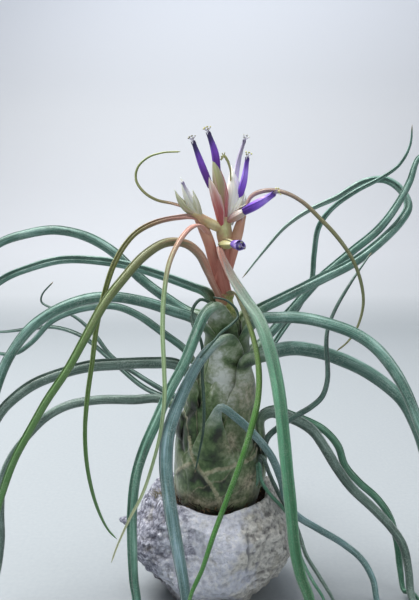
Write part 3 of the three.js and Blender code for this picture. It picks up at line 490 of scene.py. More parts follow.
LEAF_TONES = {  # dark, middle and light, and how much dust
    "teal": ("#22463c", "#4a7769", "#8bafa6", 0.28),
    "sea_green": ("#22493a", "#4c7f6a", "#8cb8a6", 0.24),
    "fresh_green": ("#21533a", "#437c60", "#7fab93", 0.2),
    "grey_green": ("#2a3f35", "#526c61", "#8aa097", 0.32),
    # The front leaves' own blue-grey, lightened in part as a painted highlight of the window light on them.
    "blue_grey_highlit": ("#3a5c58", "#688e8e", "#a6c4d0", 0.34),
    "slate": ("#223a33", "#3f5f55", "#6f8d84", 0.2),
    "dark_thread": ("#16301f", "#24483a", "#456c5a", 0.08),
}
LEAF_LOOKS = {look: leaf_material("leaf_" + look, *tones) for look, tones in LEAF_TONES.items()}
print("leaf tones:", list(LEAF_LOOKS))

# %% [markdown]
# ## The bulb: its skin and where each sheath shows
# The bulb's mean skin is a table of heights and radii round an axis that leans a little. A sheath covers the
# skin below a margin that is highest at its leaf, and falls away on both sides of it by the power 5/3 of the
# angle. Outer sheaths lie a fraction of a millimetre further out, which leaves real margins to see and feel.

# %% The bulb's skin
BULB_ROWS = np.array([  # height, how far the axis leans to the right, and radius
    [33.6, 2.5, 5], [36, 3, 12], [40, 3.5, 16.5], [47, 4, 20], [55, 4.3, 22.4], [65, 4.5, 23.2],
    [75, 4.5, 23], [85, 4.5, 21.8], [95, 5.5, 20], [105, 6.5, 17.8], [115, 8, 15.3], [125, 9, 12.9],
    [135, 9.3, 11.4], [145, 9.6, 9.7], [152, 9.4, 8], [158, 9, 6.6], [161, 8.6, 5.4]])
BULB_FOOT, BULB_TOP = BULB_ROWS[0, 0], BULB_ROWS[-1, 0]
SHEATH_FOOT = 36.0
SHEATH_STEP = 3.8  # from the innermost sheath's skin to the outermost's
INNERMOST = -0.7 * SHEATH_STEP


def mean_radius(z):
    return through(z, BULB_ROWS[:, 0], BULB_ROWS[:, 2])


def on_bulb(azimuth, z, outside):
    """Points round the bulb's axis: the mean radius at their height plus `outside`, at an azimuth in
    degrees."""
    away = mean_radius(z) + outside
    lean = through(z, BULB_ROWS[:, 0], BULB_ROWS[:, 1])
    turn = np.radians(azimuth)
    return at(lean + away * np.cos(turn), away * np.sin(turn), z)


# Patches of the skin: azimuth, height, how far they reach in degrees and in mm, and what they add to its
# tone. Some are the skin's own silver and dark green. The light ones on the upper domes at the front are
# painted light, and the dark ones in its crevices and the ring round its foot are painted shade.
TONE_LIGHT_AND_SHADE_PATCHES = [
    (-90, 118, 45, 11, 0.50), (-115, 151, 60, 6, 0.40), (-62, 141, 28, 3.5, -0.34), (-62, 124, 12, 3, -0.28),
    (-95, 130, 40, 6, 0.26), (-136, 95, 28, 10, -0.14), (-103, 110, 7, 4, -0.18), (-98, 82, 17, 7, -0.26),
    (-75, 67, 13, 5, -0.28), (-155, 86, 14, 6, -0.40), (-142, 99, 13, 4, -0.28), (-88, 84, 34, 11, -0.07),
    (-92, 93, 5, 3, -0.26), (-74, 86, 11, 5, 0.14), (-62, 102, 13, 5, -0.12), (-140, 73, 20, 4, 0.14),
    (-129, 55, 30, 4, 0.08), (-100, 60, 16, 5, -0.16), (-20, 100, 12, 16, -0.08), (20, 92, 20, 20, -0.12),
    (160, 80, 26, 18, -0.14), (90, 100, 30, 20, 0.10), (75, 66, 26, 12, -0.24), (130, 120, 20, 14, 0.10),
    (-90, 49, 150, 3.5, -0.4), (90, 49, 150, 3.5, -0.4),
]
WARM_PATCHES = [
    (-44, 108, 26, 12, 0.75), (-74, 86, 12, 6, 0.9), (-48, 65, 18, 6, 0.9), (-72, 160, 33, 3, 0.4),
    (-123, 56, 18, 3.5, 0.6), (-140, 73, 18, 4, 0.4), (-90, 56, 60, 3, 0.5), (100, 56, 90, 4, 0.5),
    (20, 52, 24, 8, 0.6), (170, 50, 26, 8, 0.5),
]

# Routes (azimuth, height) on the skin: creases, where it folds in and is darkened with painted shade, and
# pale folds, where it rolls out.
CREASES = [
    [(-166, 92), (-154, 86), (-145, 80)], [(-153, 95), (-146, 98), (-137, 103)],
    [(-95, 89), (-90, 93), (-88, 96)], [(-124, 66), (-118, 70), (-110, 67), (-103, 63)],
    [(-80, 128), (-62, 125), (-30, 126)],
    [(-30, 88), (-26, 78)], [(40, 70), (52, 84), (60, 100)], [(120, 62), (128, 80), (124, 96)],
    [(175, 60), (168, 78)], [(84, 52), (96, 62)],
]
PALE_FOLDS = [
    [(-117, 75), (-104, 68), (-93, 62), (-87, 56)], [(-106, 71), (-93, 73.5), (-80, 74), (-65, 76)],
    [(-56, 76), (-40, 76.5), (-27, 79)], [(-162, 65), (-138, 72), (-126, 75)],
    [(-134, 87), (-126, 80), (-117, 74)], [(50, 62), (72, 70), (96, 68)], [(140, 70), (160, 66)],
    [(100, 84), (116, 78), (136, 80)],
]


def turn_from(azimuth, middle):
    """The turn from `middle` to `azimuth`, from -180 to 180 degrees."""
    return (azimuth - middle + 180) % 360 - 180


def near_routes(azimuth, z, routes, reach):
    """1 on the routes, falling off as exp(-(d / reach)^2) with the distance d to the nearest of them."""
    away = mean_radius(z)
    nearest = np.full(np.broadcast(azimuth, z).shape, 1e6)
    for route in routes:
        for (a, low), (b, high) in zip(route[:-1], route[1:]):
            side = np.radians(turn_from(azimuth, a)) * away
            run = np.radians(b - a) * away
            rise = high - low
            t = np.clip((side * run + (z - low) * rise) / (run**2 + rise**2), 0, 1)
            nearest = np.minimum(nearest, (side - t * run) ** 2 + (z - low - t * rise) ** 2)
    return np.exp(-nearest / reach**2)


def patched(azimuth, z, patches):
    """The sum of soft patches, each its amount times exp(-(turn / reach)^2 - (rise / reach)^2)."""
    total = np.zeros(np.broadcast(azimuth, z).shape)
    for middle, height, turn_reach, rise_reach, amount in patches:
        turn = turn_from(azimuth, middle)
        total += amount * np.exp(-((turn / turn_reach) ** 2) - ((z - height) / rise_reach) ** 2)
    return total


def skin_calm(z):
    """How much of the relief shows: it dies out at the bulb's foot and at its top."""
    return np.clip(np.minimum((z - BULB_FOOT) / 8, (BULB_TOP - z) / 4), 0, 1)


def skin_folds(azimuth, z):
    """Folds and dents of a drying sheath, in mm: two sizes of noise, sharp valleys that are
    0.5 (1 - |noise| / 0.16)^2 deep, the dark creases 1 mm in, and the pale folds 0.7 mm out."""
    turn = np.radians(azimuth)

    def skin_noise(around, up, seed):
        return lumps(at(np.cos(turn) * around, np.sin(turn) * around, z / up), 1.0, seed)

    valleys = np.clip(1 - np.abs(skin_noise(2.2, 12, 31)) / 0.16, 0, 1)
    return (0.3 * skin_noise(5, 13, 3) + 0.5 * skin_noise(3, 8, 8) - 0.5 * valleys**2
            - 1.0 * near_routes(azimuth, z, CREASES, 1.9) + 0.7 * near_routes(azimuth, z, PALE_FOLDS, 1.3))


def skin_fields(azimuth, z):
    """What the finish reads on the skin: tone with painted light and shade, warmth, painted crease shade and
    pale folds.
    """
    return {"tone": patched(azimuth, z, TONE_LIGHT_AND_SHADE_PATCHES),
            "warm": np.clip(patched(azimuth, z, WARM_PATCHES), 0, 1),
            "crease": near_routes(azimuth, z, CREASES, 1.7), "fold": near_routes(azimuth, z, PALE_FOLDS, 1.3)}


# %% One sheath as a thin shell
SHEATH_COLUMNS = 105
SHEATH_ROWS_COUNT = 77
SHEATH_THICK = 0.5
ABOVE_MOUTH = 2.0  # how far a sheath's margin reaches above the leaf's mouth
MARGIN_WAVE = 3.4
PUFFED = 0.35  # how far a sheath stands off once it is well away from its margin
MARGIN_WIDE = 2.0  # mm of the margin that turns papery


def sheath(azimuth, mouth, wrap, lift, seed, tone=0.0):
    """The shell over angles azimuth + wrap u, u from -1 to 1, from the bulb's foot up to the margin at
    z = top - (top - foot) |u|^(5/3). Its back is the same sheet, a wall's thickness further in."""
    u = np.linspace(-1, 1, SHEATH_COLUMNS)[None, :]
    v = np.linspace(0, 1, SHEATH_ROWS_COUNT)[:, None] ** 0.8
    top = mouth + ABOVE_MOUTH
    turn = azimuth + wrap * u
    wave = (lumps(at(turn / 17, float(seed), 0.0), 1.0, seed)
            + 0.3 * lumps(at(turn / 5, float(seed), 0.0), 1.0, 40))
    edge = top - (top - SHEATH_FOOT) * np.abs(u) ** (5 / 3)
    edge = edge + MARGIN_WAVE * wave * np.minimum(1, 3 * np.abs(u)) * np.clip((edge - SHEATH_FOOT) / 20, 0, 1)
    z = BULB_FOOT + (np.maximum(edge, BULB_FOOT + 1) - BULB_FOOT) * v
    to_edge = np.minimum(edge - z, (1 - np.abs(u)) * wrap * 0.4)
    outside = skin_calm(z) * (lift + PUFFED * np.clip(to_edge / 9, 0, 1) + skin_folds(turn, z))
    fields = {"sheath": 1.0, "along": z, "across": turn * 0.35, "share": 0.2,
              "margin": np.exp(-np.maximum(to_edge, 0) / MARGIN_WIDE), **skin_fields(turn, z)}
    fields["tone"] = fields["tone"] + 0.3 + tone - 0.14 * np.exp(-np.maximum(to_edge - 1, 0) / 3)
    return shell(on_bulb(turn, z, outside), on_bulb(turn, z, outside - SHEATH_THICK), **fields)


# %% [markdown]
# ## The leaves' routes
# Every leaf leaves the bulb at its root: an azimuth (0 right, -90 front) and the height of its sheath's
# mouth. It runs through stops as the eye sees them, and past those, out of sight, through tail points (x, y,
# z). `wide` is how wide it looks from its root to its tip. `wrap` is half the angle that its sheath takes at
# the bulb's foot, and 0 for a thread-like leaf that slips out between two sheaths. Some leaves differ in
# more: `tone` makes the sheath lighter or darker, `clasp` is the half angle of the sheath itself where
# `wrap` won't do, `flare` is how many times the root is broader and how far that reaches, `skin_to` is how
# far the sheath's skin runs up the blade, and `fade` pales the tip.

# %% The leaves
LEAVES = []


def add_leaf(name, look, root, wrap, wide, stops, tail=(), **own):
    """Notes one leaf down, with its root as (azimuth, height). `own` is what differs from a plain leaf."""
    plain = {"tone": 0, "clasp": wrap, "flare": (), "skin_to": 38, "fade": 0}
    LEAVES.append({"name": "leaf_" + name, "look": look, "root": root, "wrap": wrap, "wide": wide,
                   "stops": stops, "tail": tail, **plain, **own})


add_leaf("left_1", "teal", (166, 146), 75, [5.2, 5.6, 5.6, 5.2, 4.2, 0.9],
         [[-12, 151, -4], [-25, 159, -6], [-38, 169, -8], [-53, 183.5, -9], [-68, 192, -9], [-85, 195.5, -8],
         [-100, 193.5, -6], [-115, 188.5, -2]],
         [[-133, 0, 174], [-148, -6, 157], [-157, -12, 140]])
add_leaf("left_2", "teal", (140, 151), 70, [4.6, 5, 4.8, 4.6, 3.8, 0.9],
         [[-1, 160.5, -2], [-10, 164.5, 2], [-25, 170, 5], [-45, 176, 6], [-65, 179, 6], [-82, 179, 6],
         [-98, 175, 8], [-115, 167.5, 10]],
         [[-126, -16, 152], [-137, -20, 134], [-143, -24, 118]])
add_leaf("left_3", "teal", (-158, 139), 80, [6, 6.2, 6, 6, 5, 0.9],
         [[-8, 146.5, 10], [-20, 151, 14], [-38, 156.5, 18], [-55, 158.8, 22], [-72, 156.5, 26],
         [-88, 149.5, 30], [-100, 140, 33], [-110, 126, 36], [-115, 115, 38]],
         [[-104, -47, 108], [-103, -58, 91], [-101, -68, 74]], tone=0.02)
add_leaf("left_4", "teal", (176, 117), 75, [4.4, 4.2, 4, 3.4, 2.6, 0.9],
         [[-12, 128, -1], [-25, 138.5, 2], [-40, 149, 6], [-52, 153.5, 8], [-65, 153, 8], [-77, 150, 8],
         [-87, 145, 8], [-98, 133.5, 8], [-107, 127.5, 6], [-115, 127.5, 4]],
         [[-122, 0, 130], [-128, 4, 135]])
add_leaf("left_5", "slate", (158, 97), 0, [3.2, 3, 2.6, 2.2, 1.4, 0.8],
         [[-25, 107, -12], [-38, 115, -16], [-54, 126, -21], [-64, 139, -25], [-75, 148.3, -28],
         [-86, 152.3, -31], [-92.5, 156, -33], [-92, 160, -33], [-86, 167, -32]])
add_leaf("left_6", "grey_green", (-165, 113), 80, [6, 6.4, 6.4, 6, 4.6, 0.9],
         [[-18, 121.5, 12], [-32, 122.5, 15], [-50, 121.8, 19], [-66, 120.6, 23], [-82, 116.5, 27],
         [-97, 110.5, 31], [-108, 102.5, 35], [-115, 95, 38]],
         [[-110, -46, 88], [-118, -56, 70], [-122, -64, 53]], tone=-0.02)
add_leaf("left_7", "slate", (140, 94), 70, [3, 3, 2.6, 2.2, 1.8, 0.8],
         [[-20, 102, -18], [-36, 109, -26], [-54, 124, -34], [-70, 137, -40], [-85, 142, -46],
         [-100, 141, -52], [-115, 139.5, -56]],
         [[-146, 60, 130], [-156, 62, 126]])
add_leaf("left_8", "grey_green", (-172, 95), 85, [5, 5.2, 5, 4.6, 3.6, 0.9],
         [[-26, 102.3, 3], [-42, 102.2, 6], [-62, 102, 9], [-78, 99, 12], [-90, 92.5, 14], [-100, 82.5, 15],
         [-109, 70.5, 16], [-114, 58, 17], [-115, 40, 18], [-114.5, 26, 18]],
         [[-108.5, -22, 22], [-110, -30, 9], [-112, -40, 3.4], [-113, -54, 1.6]], clasp=98)
add_leaf("front_1", "sea_green", (-116, 145), 80, [5.6, 6.2, 6, 6, 5.4, 4.6, 1],
         [[3.5, 153.6, 15], [-2, 150, 21], [-8, 137, 31], [-14, 122, 40], [-22, 107, 46], [-29, 91, 52],
         [-36, 75, 57], [-40.5, 60, 61], [-42.5, 42, 64], [-42.5, 22, 66], [-41.5, 2, 68], [-40, -8, 69]],
         [[-31, -72, 20], [-30, -79, 8], [-29, -92, 3], [-27, -108, 1.4]], tone=0.12, flare=(3.8, 42),
         skin_to=46)
add_leaf("front_2", "blue_grey_highlit", (-88, 127), 90, [5.4, 5.6, 6.6, 7.8, 7.6, 6.2, 5, 1],
         [[8, 134.8, 19], [2, 131.8, 26], [-5, 124, 32], [-11, 113.5, 38], [-18, 98, 45], [-23, 82, 51],
         [-24, 65, 55], [-22.5, 50, 58], [-19.8, 32, 60], [-16.5, 14, 61], [-13, -8, 61]],
         [[-10, -63, 15], [-8, -70, 5.5], [-6, -82, 2.6], [-2, -96, 1.4]], tone=0.08, flare=(4.3, 50),
         skin_to=54)
add_leaf("front_3", "blue_grey_highlit", (-98, 90), 85, [4.8, 4.6, 4.4, 4, 3.6, 3.4, 0.9],
         [[6, 97.7, 25], [15, 92, 27.5], [25, 82.5, 28], [34, 71, 26], [39, 59, 24], [42.5, 46, 21],
         [48, 38.5, 18], [60, 31, 15], [74, 22.6, 14], [84, 14, 17], [90, 3, 22], [92, -8, 27]],
         [[86, -33, 4.5], [88, -44, 2], [92, -56, 1.4]], tone=0.04, clasp=95, flare=(5.2, 34), skin_to=42)
add_leaf("front_thread_1", "grey_green", (-27, 75), 0, [2.4, 2.4, 2.4, 2.2, 0.8],
         [[29.5, 70, 15], [33.5, 60, 15], [40, 47, 13], [46, 37, 14], [50, 26, 20], [53, 17, 26],
         [60, 5.5, 31], [68, -8, 36]],
         [[64, -42, 5], [68, -50, 2]])
add_leaf("front_thread_2", "fresh_green", (-34, 72), 0, [2, 2, 2, 1.8, 0.8],
         [[27.5, 66, 19], [28.5, 58, 21], [33, 50.5, 22.5], [40, 43, 24], [45.3, 36, 25], [47.6, 26, 28],
         [50.5, 15, 32], [57, 2, 37], [63, -8, 42]],
         [[57, -47, 7], [60, -54, 3]])
add_leaf("front_thread_3", "dark_thread", (-150, 152), 0, [1.8, 1.8, 1.8, 1.8, 0.8],
         [[-5, 157.2, 10], [-9.4, 151.5, 12], [-9.2, 143.5, 17], [-5, 135.5, 23], [-3.6, 127, 25.5],
         [-4, 116, 25], [-3.3, 105, 27], [-3, 94, 29], [-3.6, 84, 29], [-5.5, 74, 29], [-8, 62, 28.5]])
add_leaf("right_1", "teal", (12, 145), 75, [6, 6, 6, 5.4, 4.8, 4, 2.8, 1.8, 0.9],
         [[28, 152, 2], [40, 158, 3], [60, 168, 3], [78, 177, 0], [95, 190, -6], [105.5, 201, -12],
         [109.3, 209, -17], [105.5, 217.3, -21], [97, 223, -24], [85, 222, -27], [70, 213.5, -29],
         [55, 206.5, -30], [42, 197.5, -31], [30, 184, -32], [18, 169, -32]], fade=0.5)
add_leaf("right_2", "teal", (30, 124), 80, [5, 5, 5, 4.6, 3.6, 0.9],
         [[30, 135, -12], [37, 142.5, -14], [46, 152.5, -15], [60, 168, -14], [78, 183.5, -11], [93, 196, -9],
         [103, 209, -9], [110, 222, -12], [115, 235, -16]],
         [[132, 19, 243], [142, 24, 256]])
add_leaf("right_3", "teal", (52, 118), 75, [3.2, 3, 3, 3, 2.4, 0.8],
         [[30, 127, -18], [40, 140, -23], [50, 155, -27], [56, 167, -29], [57.5, 182, -30], [60, 197, -28],
         [67, 207, -24], [80, 216.5, -18], [95, 224.5, -14], [104.5, 231.5, -12], [110.3, 242, -10],
         [111.5, 253.5, -9]])
add_leaf("right_4", "teal", (-28, 137), 80, [6, 6.4, 6.6, 6.4, 5, 0.9],
         [[26, 145.8, 12], [38, 147.4, 15], [52, 147, 19], [66, 143.8, 24], [80, 138.5, 29], [91, 131, 33],
         [100, 120.5, 37], [108, 107, 41], [114, 92, 44]],
         [[102, -49, 94], [106, -56, 74], [110, -62, 58]], tone=0.04)
add_leaf("right_5", "teal", (-47, 113), 80, [7, 7.8, 7.6, 7, 6.4, 5.6, 1],
         [[20, 122.6, 14.5], [31, 127.3, 13], [44, 130.4, 9], [57, 129.2, 6], [70, 125.3, 4], [84, 119, 4],
         [97, 110.3, 7], [107, 100.5, 11], [115, 84, 16]],
         [[113, -22, 72], [117, -28, 50], [120, -36, 30], [124, -46, 14]], tone=0.06, skin_to=52)
add_leaf("right_6", "grey_green", (-8, 81), 85, [5, 6, 6, 5.6, 5, 4.4, 0.9],
         [[28, 91.5, 2], [33.5, 95.3, 2.5], [41, 93.6, 3], [50, 90, 4], [57, 85, 5], [64, 75, 6], [70, 65, 7],
         [78, 54, 8], [90, 42.5, 9], [100, 32, 10], [106.5, 22, 12], [109.5, 8, 16], [110.5, -3, 20]],
         [[104, -25, 5], [105, -36, 2.3], [108, -50, 1.5]], clasp=175)
add_leaf("right_7", "fresh_green", (16, 82), 80, [4.2, 4.2, 4.2, 4, 3.6, 0.9],
         [[29, 94, -6], [36, 97, -7], [45, 93.8, -6], [55, 90, -5], [63, 85.5, -4], [70.5, 77, -3],
         [74.5, 66, -2], [82, 57, -1], [92, 48, 0], [99, 38, 1], [103, 24, 3], [105, 8, 7], [107, -3, 11]],
         [[106, -14, 5.5], [111, -21, 2.2], [119, -28, 1.5]])
add_leaf("right_8", "slate", (-16, 69), 75, [3.4, 3.4, 3.2, 3, 2.4, 1.8, 0.8],
         [[31.5, 80.5, 9.5], [38, 87, 11], [48, 93.5, 13], [56, 98.3, 15], [62, 104, 16], [64.8, 113, 17],
         [64.8, 123, 17], [64.2, 133, 16], [65, 141, 14], [69, 151.5, 11], [78, 167, 8], [89, 183, 4]],
         clasp=130)
add_leaf("back_1", "teal", (78, 139), 85, [5.6, 5.6, 5, 4.2, 3, 1],
         [],
         [[10, 24, 150], [10, 56, 147], [8, 86, 132], [6, 106, 106], [4, 120, 78], [2, 127, 54]])
add_leaf("back_2", "teal", (108, 117), 85, [5.6, 5.6, 5, 4.2, 3, 1],
         [],
         [[2, 26, 127], [0, 52, 125], [-2, 76, 110], [-4, 94, 86], [-5, 103, 60], [-5, 108, 36]])
add_leaf("back_3", "grey_green", (66, 98), 85, [5.4, 5.4, 4.8, 4, 3, 1],
         [],
         [[16, 30, 107], [21, 54, 105], [24, 76, 90], [24, 90, 66], [22, 99, 42], [20, 105, 20]])
add_leaf("back_4", "teal", (118, 78), 85, [5, 5, 4.4, 3.8, 3, 1],
         [],
         [[-8, 29, 87], [-10, 50, 85], [-13, 72, 68], [-15, 88, 46], [-19, 100, 26], [-24, 110, 10]])
print(len(LEAVES), "leaves")

# %% A round stem, for stalks, stamens and threads
RIB = 0.05


def stem(stops, radii, sides=24, step=0.8, ribs=0, out=(0, -1, 0), **fields):
    """A round stem: rings of radius r (1 + 0.05 cos(ribs a)) along a route, r spread out from root to tip."""
    points, along = smooth_route(stops, step)
    share = along / along[-1]
    radius = spread(share, radii)
    ahead, outs, aside = framed(points, out)
    turn = np.linspace(0, 2 * np.pi, sides, endpoint=False)
    away = radius[:, None] * (1 + (RIB * np.cos(ribs * turn)[None, :] if ribs else 0))
    rings = carried(points, outs, away * np.cos(turn), aside, away * np.sin(turn))
    return tube(rings, along=along[:, None], share=share[:, None], across=away * turn[None, :], **fields)


# %% [markdown]
# ## How a blade is rolled
# The blade's cross-section is a circle of 316 degrees whose ends turn in to a U-shaped channel. Near the
# root it unrolls: it grows broader and flatter, and bends round the bulb, until it is the top of its own
# sheath. So one grid of points, along and around, is the whole blade. It could also be a curve with a bevel
# object, but that can't unroll on its way.

# %% One blade as a closed body
BLADE_STEP = 1.5
TIP_RADIUS = 0.35
FLARE = 3.3  # how many times broader a blade is at its root
FLARE_REACH = 36.0
FLARE_THICK = 0.42  # and how thick there, as a share of what it is further out
ROOT_DROPS = [(16, -3.5), (9, 0.4), (0, 1.0)]  # a root's stops: how far below the mouth and outside the skin
NECK_SWELL = 0.8
LIP = 158  # degrees from the blade's back to the channel's lip
CHANNEL_DEPTH = 0.42
BLADE_WANDER = 0.035  # how unevenly wide a blade is
TIP_SHARE = 0.012  # the last of the blade, which closes to a point

back_angles = np.radians(np.linspace(-LIP, LIP, 21))
across_channel = np.linspace(1, -1, 9)[1:-1]
lip_side, lip_depth = np.sin(back_angles[-1]), np.cos(back_angles[-1])
section_sideways = np.concatenate([np.sin(back_angles),
                                   lip_side * np.sign(across_channel) * np.abs(across_channel) ** 0.7])
section_outwards = np.concatenate([np.cos(back_angles),
                                   lip_depth + CHANNEL_DEPTH * (1 - np.abs(across_channel) ** 3)])
# The channel's mask, which the finishes darken as painted shade.
section_groove_shade = np.concatenate([ease(np.abs(np.degrees(back_angles)), LIP - 14, LIP + 8),
                                 1 - 0.3 * np.abs(across_channel)])
section_across = np.concatenate([back_angles, back_angles[-1] * across_channel])
# The back's mask, which the finishes darken as painted shade.
section_back_shade = np.concatenate([ease(np.cos(back_angles), -0.15, 0.85), 0 * across_channel])


def blade(stops, wide, out, bend=0.0, flare=FLARE, reach=FLARE_REACH, crest=0.0):
    """Rings r (sin a, cos a) along the route, where r is half the width seen, times k as in `seen`. Towards
    the root, by a share f that eases from 1 to 0, a ring is `flare` times broader and 0.42 times as thick,
    and dips by f s^2 / (2 bend) at a distance s to its side. With a `crest`, f first rises to 1 there."""
    points, along = smooth_route(stops, BLADE_STEP)
    share = along / along[-1]
    width = np.interp(share, np.linspace(0, 1, len(wide)), wide)
    radius = np.maximum(width / 2 * (EYE_AHEAD + points[:, 1]) / EYE_AHEAD, TIP_RADIUS)
    radius = radius * np.clip((1 - share) / TIP_SHARE, 0.25, 1)
    flat = 1 - ease(along, crest + 3, reach) if bend else np.zeros_like(along)
    if crest:
        flat = flat * ease(along, 0.3 * crest, crest)
    ahead, outs, aside = framed(points, out)
    broad = radius * (1 + (flare - 1) * flat)
    thick = radius * (1 + (FLARE_THICK - 1) * flat)
    wander = 1 + BLADE_WANDER * lumps(at(along / 11, 0.0, float(len(along))), 1.0, 5)
    sideways = (broad * wander)[:, None] * section_sideways[None, :]
    outwards = (thick * wander)[:, None] * section_outwards[None, :]
    if bend:
        outwards = outwards - flat[:, None] * sideways**2 / (2 * bend)
    rings = carried(points, outs, outwards, aside, sideways)
    fields = {"along": along[:, None], "share": share[:, None], "groove": section_groove_shade[None, :],
              "across": broad[:, None] * section_across[None, :], "flat": flat[:, None],
              "back": section_back_shade[None, :] * (1 - flat[:, None])}
    return rings, fields


# %% Build the leaves, each with its sheath
SHEATHED = sorted((leaf for leaf in LEAVES if leaf["wrap"]), key=lambda leaf: -leaf["root"][1])
RANKS = {leaf["name"]: rank for rank, leaf in enumerate(SHEATHED)}


def sheath_lift(leaf):
    """How far a leaf's sheath lies outside the mean skin: the higher its mouth is, the further in it lies."""
    return SHEATH_STEP * (RANKS[leaf["name"]] / (len(SHEATHED) - 1) - 0.7)


def root_lift(azimuth, z):
    """How far the outermost sheath that covers a place lies outside the mean skin, and the swelling at
    mouths."""
    lift, swell = INNERMOST, 0.0
    for leaf in SHEATHED:
        middle, mouth = leaf["root"]
        turn = abs(turn_from(azimuth, middle))
        top = mouth + ABOVE_MOUTH
        share = np.clip((top - z) / (top - SHEATH_FOOT), 0, 1)
        cover = ease(leaf["wrap"] * share**0.6 - turn, -2, 6)
        lift = lift + cover * (max(lift, sheath_lift(leaf)) - lift)
        across = np.radians(turn) * mean_radius(z)
        swell = max(swell, NECK_SWELL * np.exp(-((across / 5.5) ** 2) - ((z - mouth + 4) / 7) ** 2))
    return lift + swell


def outward(azimuth):
    return np.array([np.cos(np.radians(azimuth)), np.sin(np.radians(azimuth)), 0.0])


def leaf_stops(leaf):
    """A leaf's whole route: its root in the bulb, what the eye sees of it, and its tail out of sight."""
    azimuth, mouth = leaf["root"]
    roots = [on_bulb(azimuth, np.float64(mouth - drop), root_lift(azimuth, mouth - drop) + outside)
             for drop, outside in ROOT_DROPS]
    return np.vstack([*roots, seen(leaf["stops"]), np.array(leaf["tail"], float).reshape(-1, 3)])


def leaf_parts(leaf, seed):
    """The blade, whose root carries the skin's own values, and the sheath if it has one."""
    azimuth, mouth = leaf["root"]
    sheathed = leaf["wrap"] > 0
    bend = float(mean_radius(np.float64(mouth - 10))) if sheathed else 0.0
    rings, fields = blade(leaf_stops(leaf), leaf["wide"], outward(azimuth), bend, *leaf["flare"])
    turn = np.degrees(np.arctan2(rings[..., 1], rings[..., 0] - 5))
    fields["sheath"] = (1 - ease(fields["along"], 0.45 * leaf["skin_to"], leaf["skin_to"])) * sheathed
    fields["groove"] = fields["groove"] * (1 - fields.pop("flat"))
    fields["fade"] = leaf["fade"] * ease(fields["share"], 0.6, 0.9)
    on_skin = fields["sheath"] > 0
    fields.update({name: value * on_skin for name, value in skin_fields(turn, rings[..., 2]).items()})
    fields["tone"] = fields["tone"] + 0.33 + leaf["tone"]
    parts = [tube(rings, **fields)]
    if sheathed:
        parts.append(sheath(azimuth, mouth, leaf["clasp"], sheath_lift(leaf), seed, leaf["tone"]))
    return parts


for seed, leaf in enumerate(LEAVES, 1):
    add_piece(leaf["name"] + "_skin", leaf_parts(leaf, seed), LEAF_LOOKS[leaf["look"]], "leaf_green",
              leaf["name"])

# %% A thin dark curl over the roots of the front leaves: painted shade, laid along the lip between them
curl_stops = seen([[2.2, 158.4, 19], [8.8, 157, 20], [14.3, 152.4, 21], [15.7, 148, 22.5], [12.7, 144.1, 26],
                   [6.6, 139.2, 29], [0, 131.5, 33], [-6, 124, 34]])
curl = stem(curl_stops, [0.5, 0.62, 0.68, 0.68, 0.6, 0.45], 14)
add_piece("shade_curl", [curl], LEAF_LOOKS["dark_thread"], "leaf_green")

# %% [markdown]
# ## The bulb's heart
# Between the sheaths' mouths the youngest tissue shows: a smooth yellow-green neck that opens round the
# stalk. It is one revolved surface just inside the innermost sheath.

# %% Build the bulb's heart
heart_z = np.linspace(BULB_FOOT, BULB_TOP, 160)[:, None]
heart_turn = np.linspace(-180, 180, 120, endpoint=False)[None, :]
heart_out = skin_calm(heart_z) * (INNERMOST - 0.35 + skin_folds(heart_turn, heart_z) * 0.5)

finish = Finish("bulb_heart", Sheen_Weight=0.1)
lines, spots = finish.lines(1.2), finish.spots(90.0)
height = node("SeparateXYZ", {0: finish.place}, "Z")
# The tone carries the skin patches' painted light and shade, as on the sheaths.
skin = ramp(finish.field("tone") + spots["Small"] * 0.4, (0.1, "#26361f"), (0.5, "#5f7350"), (0.9, "#a3ab8e"))
neck = ramp(spots["Small"], (0.0, "#7b8a3e"), (0.6, "#a9ad68"), (1.0, "#c8b890"))
skin = mixed(stepped(height, 0.146, 0.154), skin, neck)
skin = mixed(stepped(height, 0.1585, 0.1615), skin, tint("#b98a72"))
add_piece("bulb_heart", [tube(on_bulb(heart_turn, heart_z, heart_out), along=heart_z, across=heart_turn * 0.2,
                              tone=0.26 + patched(heart_turn, heart_z, TONE_LIGHT_AND_SHADE_PATCHES))],
          finish.done(skin, lines["Lines"] + spots["Small"]), "bulb_green", "bulb")

# %% [markdown]
# ## The stalk's long bracts
# These are leaves too, and they are rolled the same way. Each clasps the stalk at its root, where it is
# pink, and turns to its own green further out, so each has its own ramp of colours along its length.

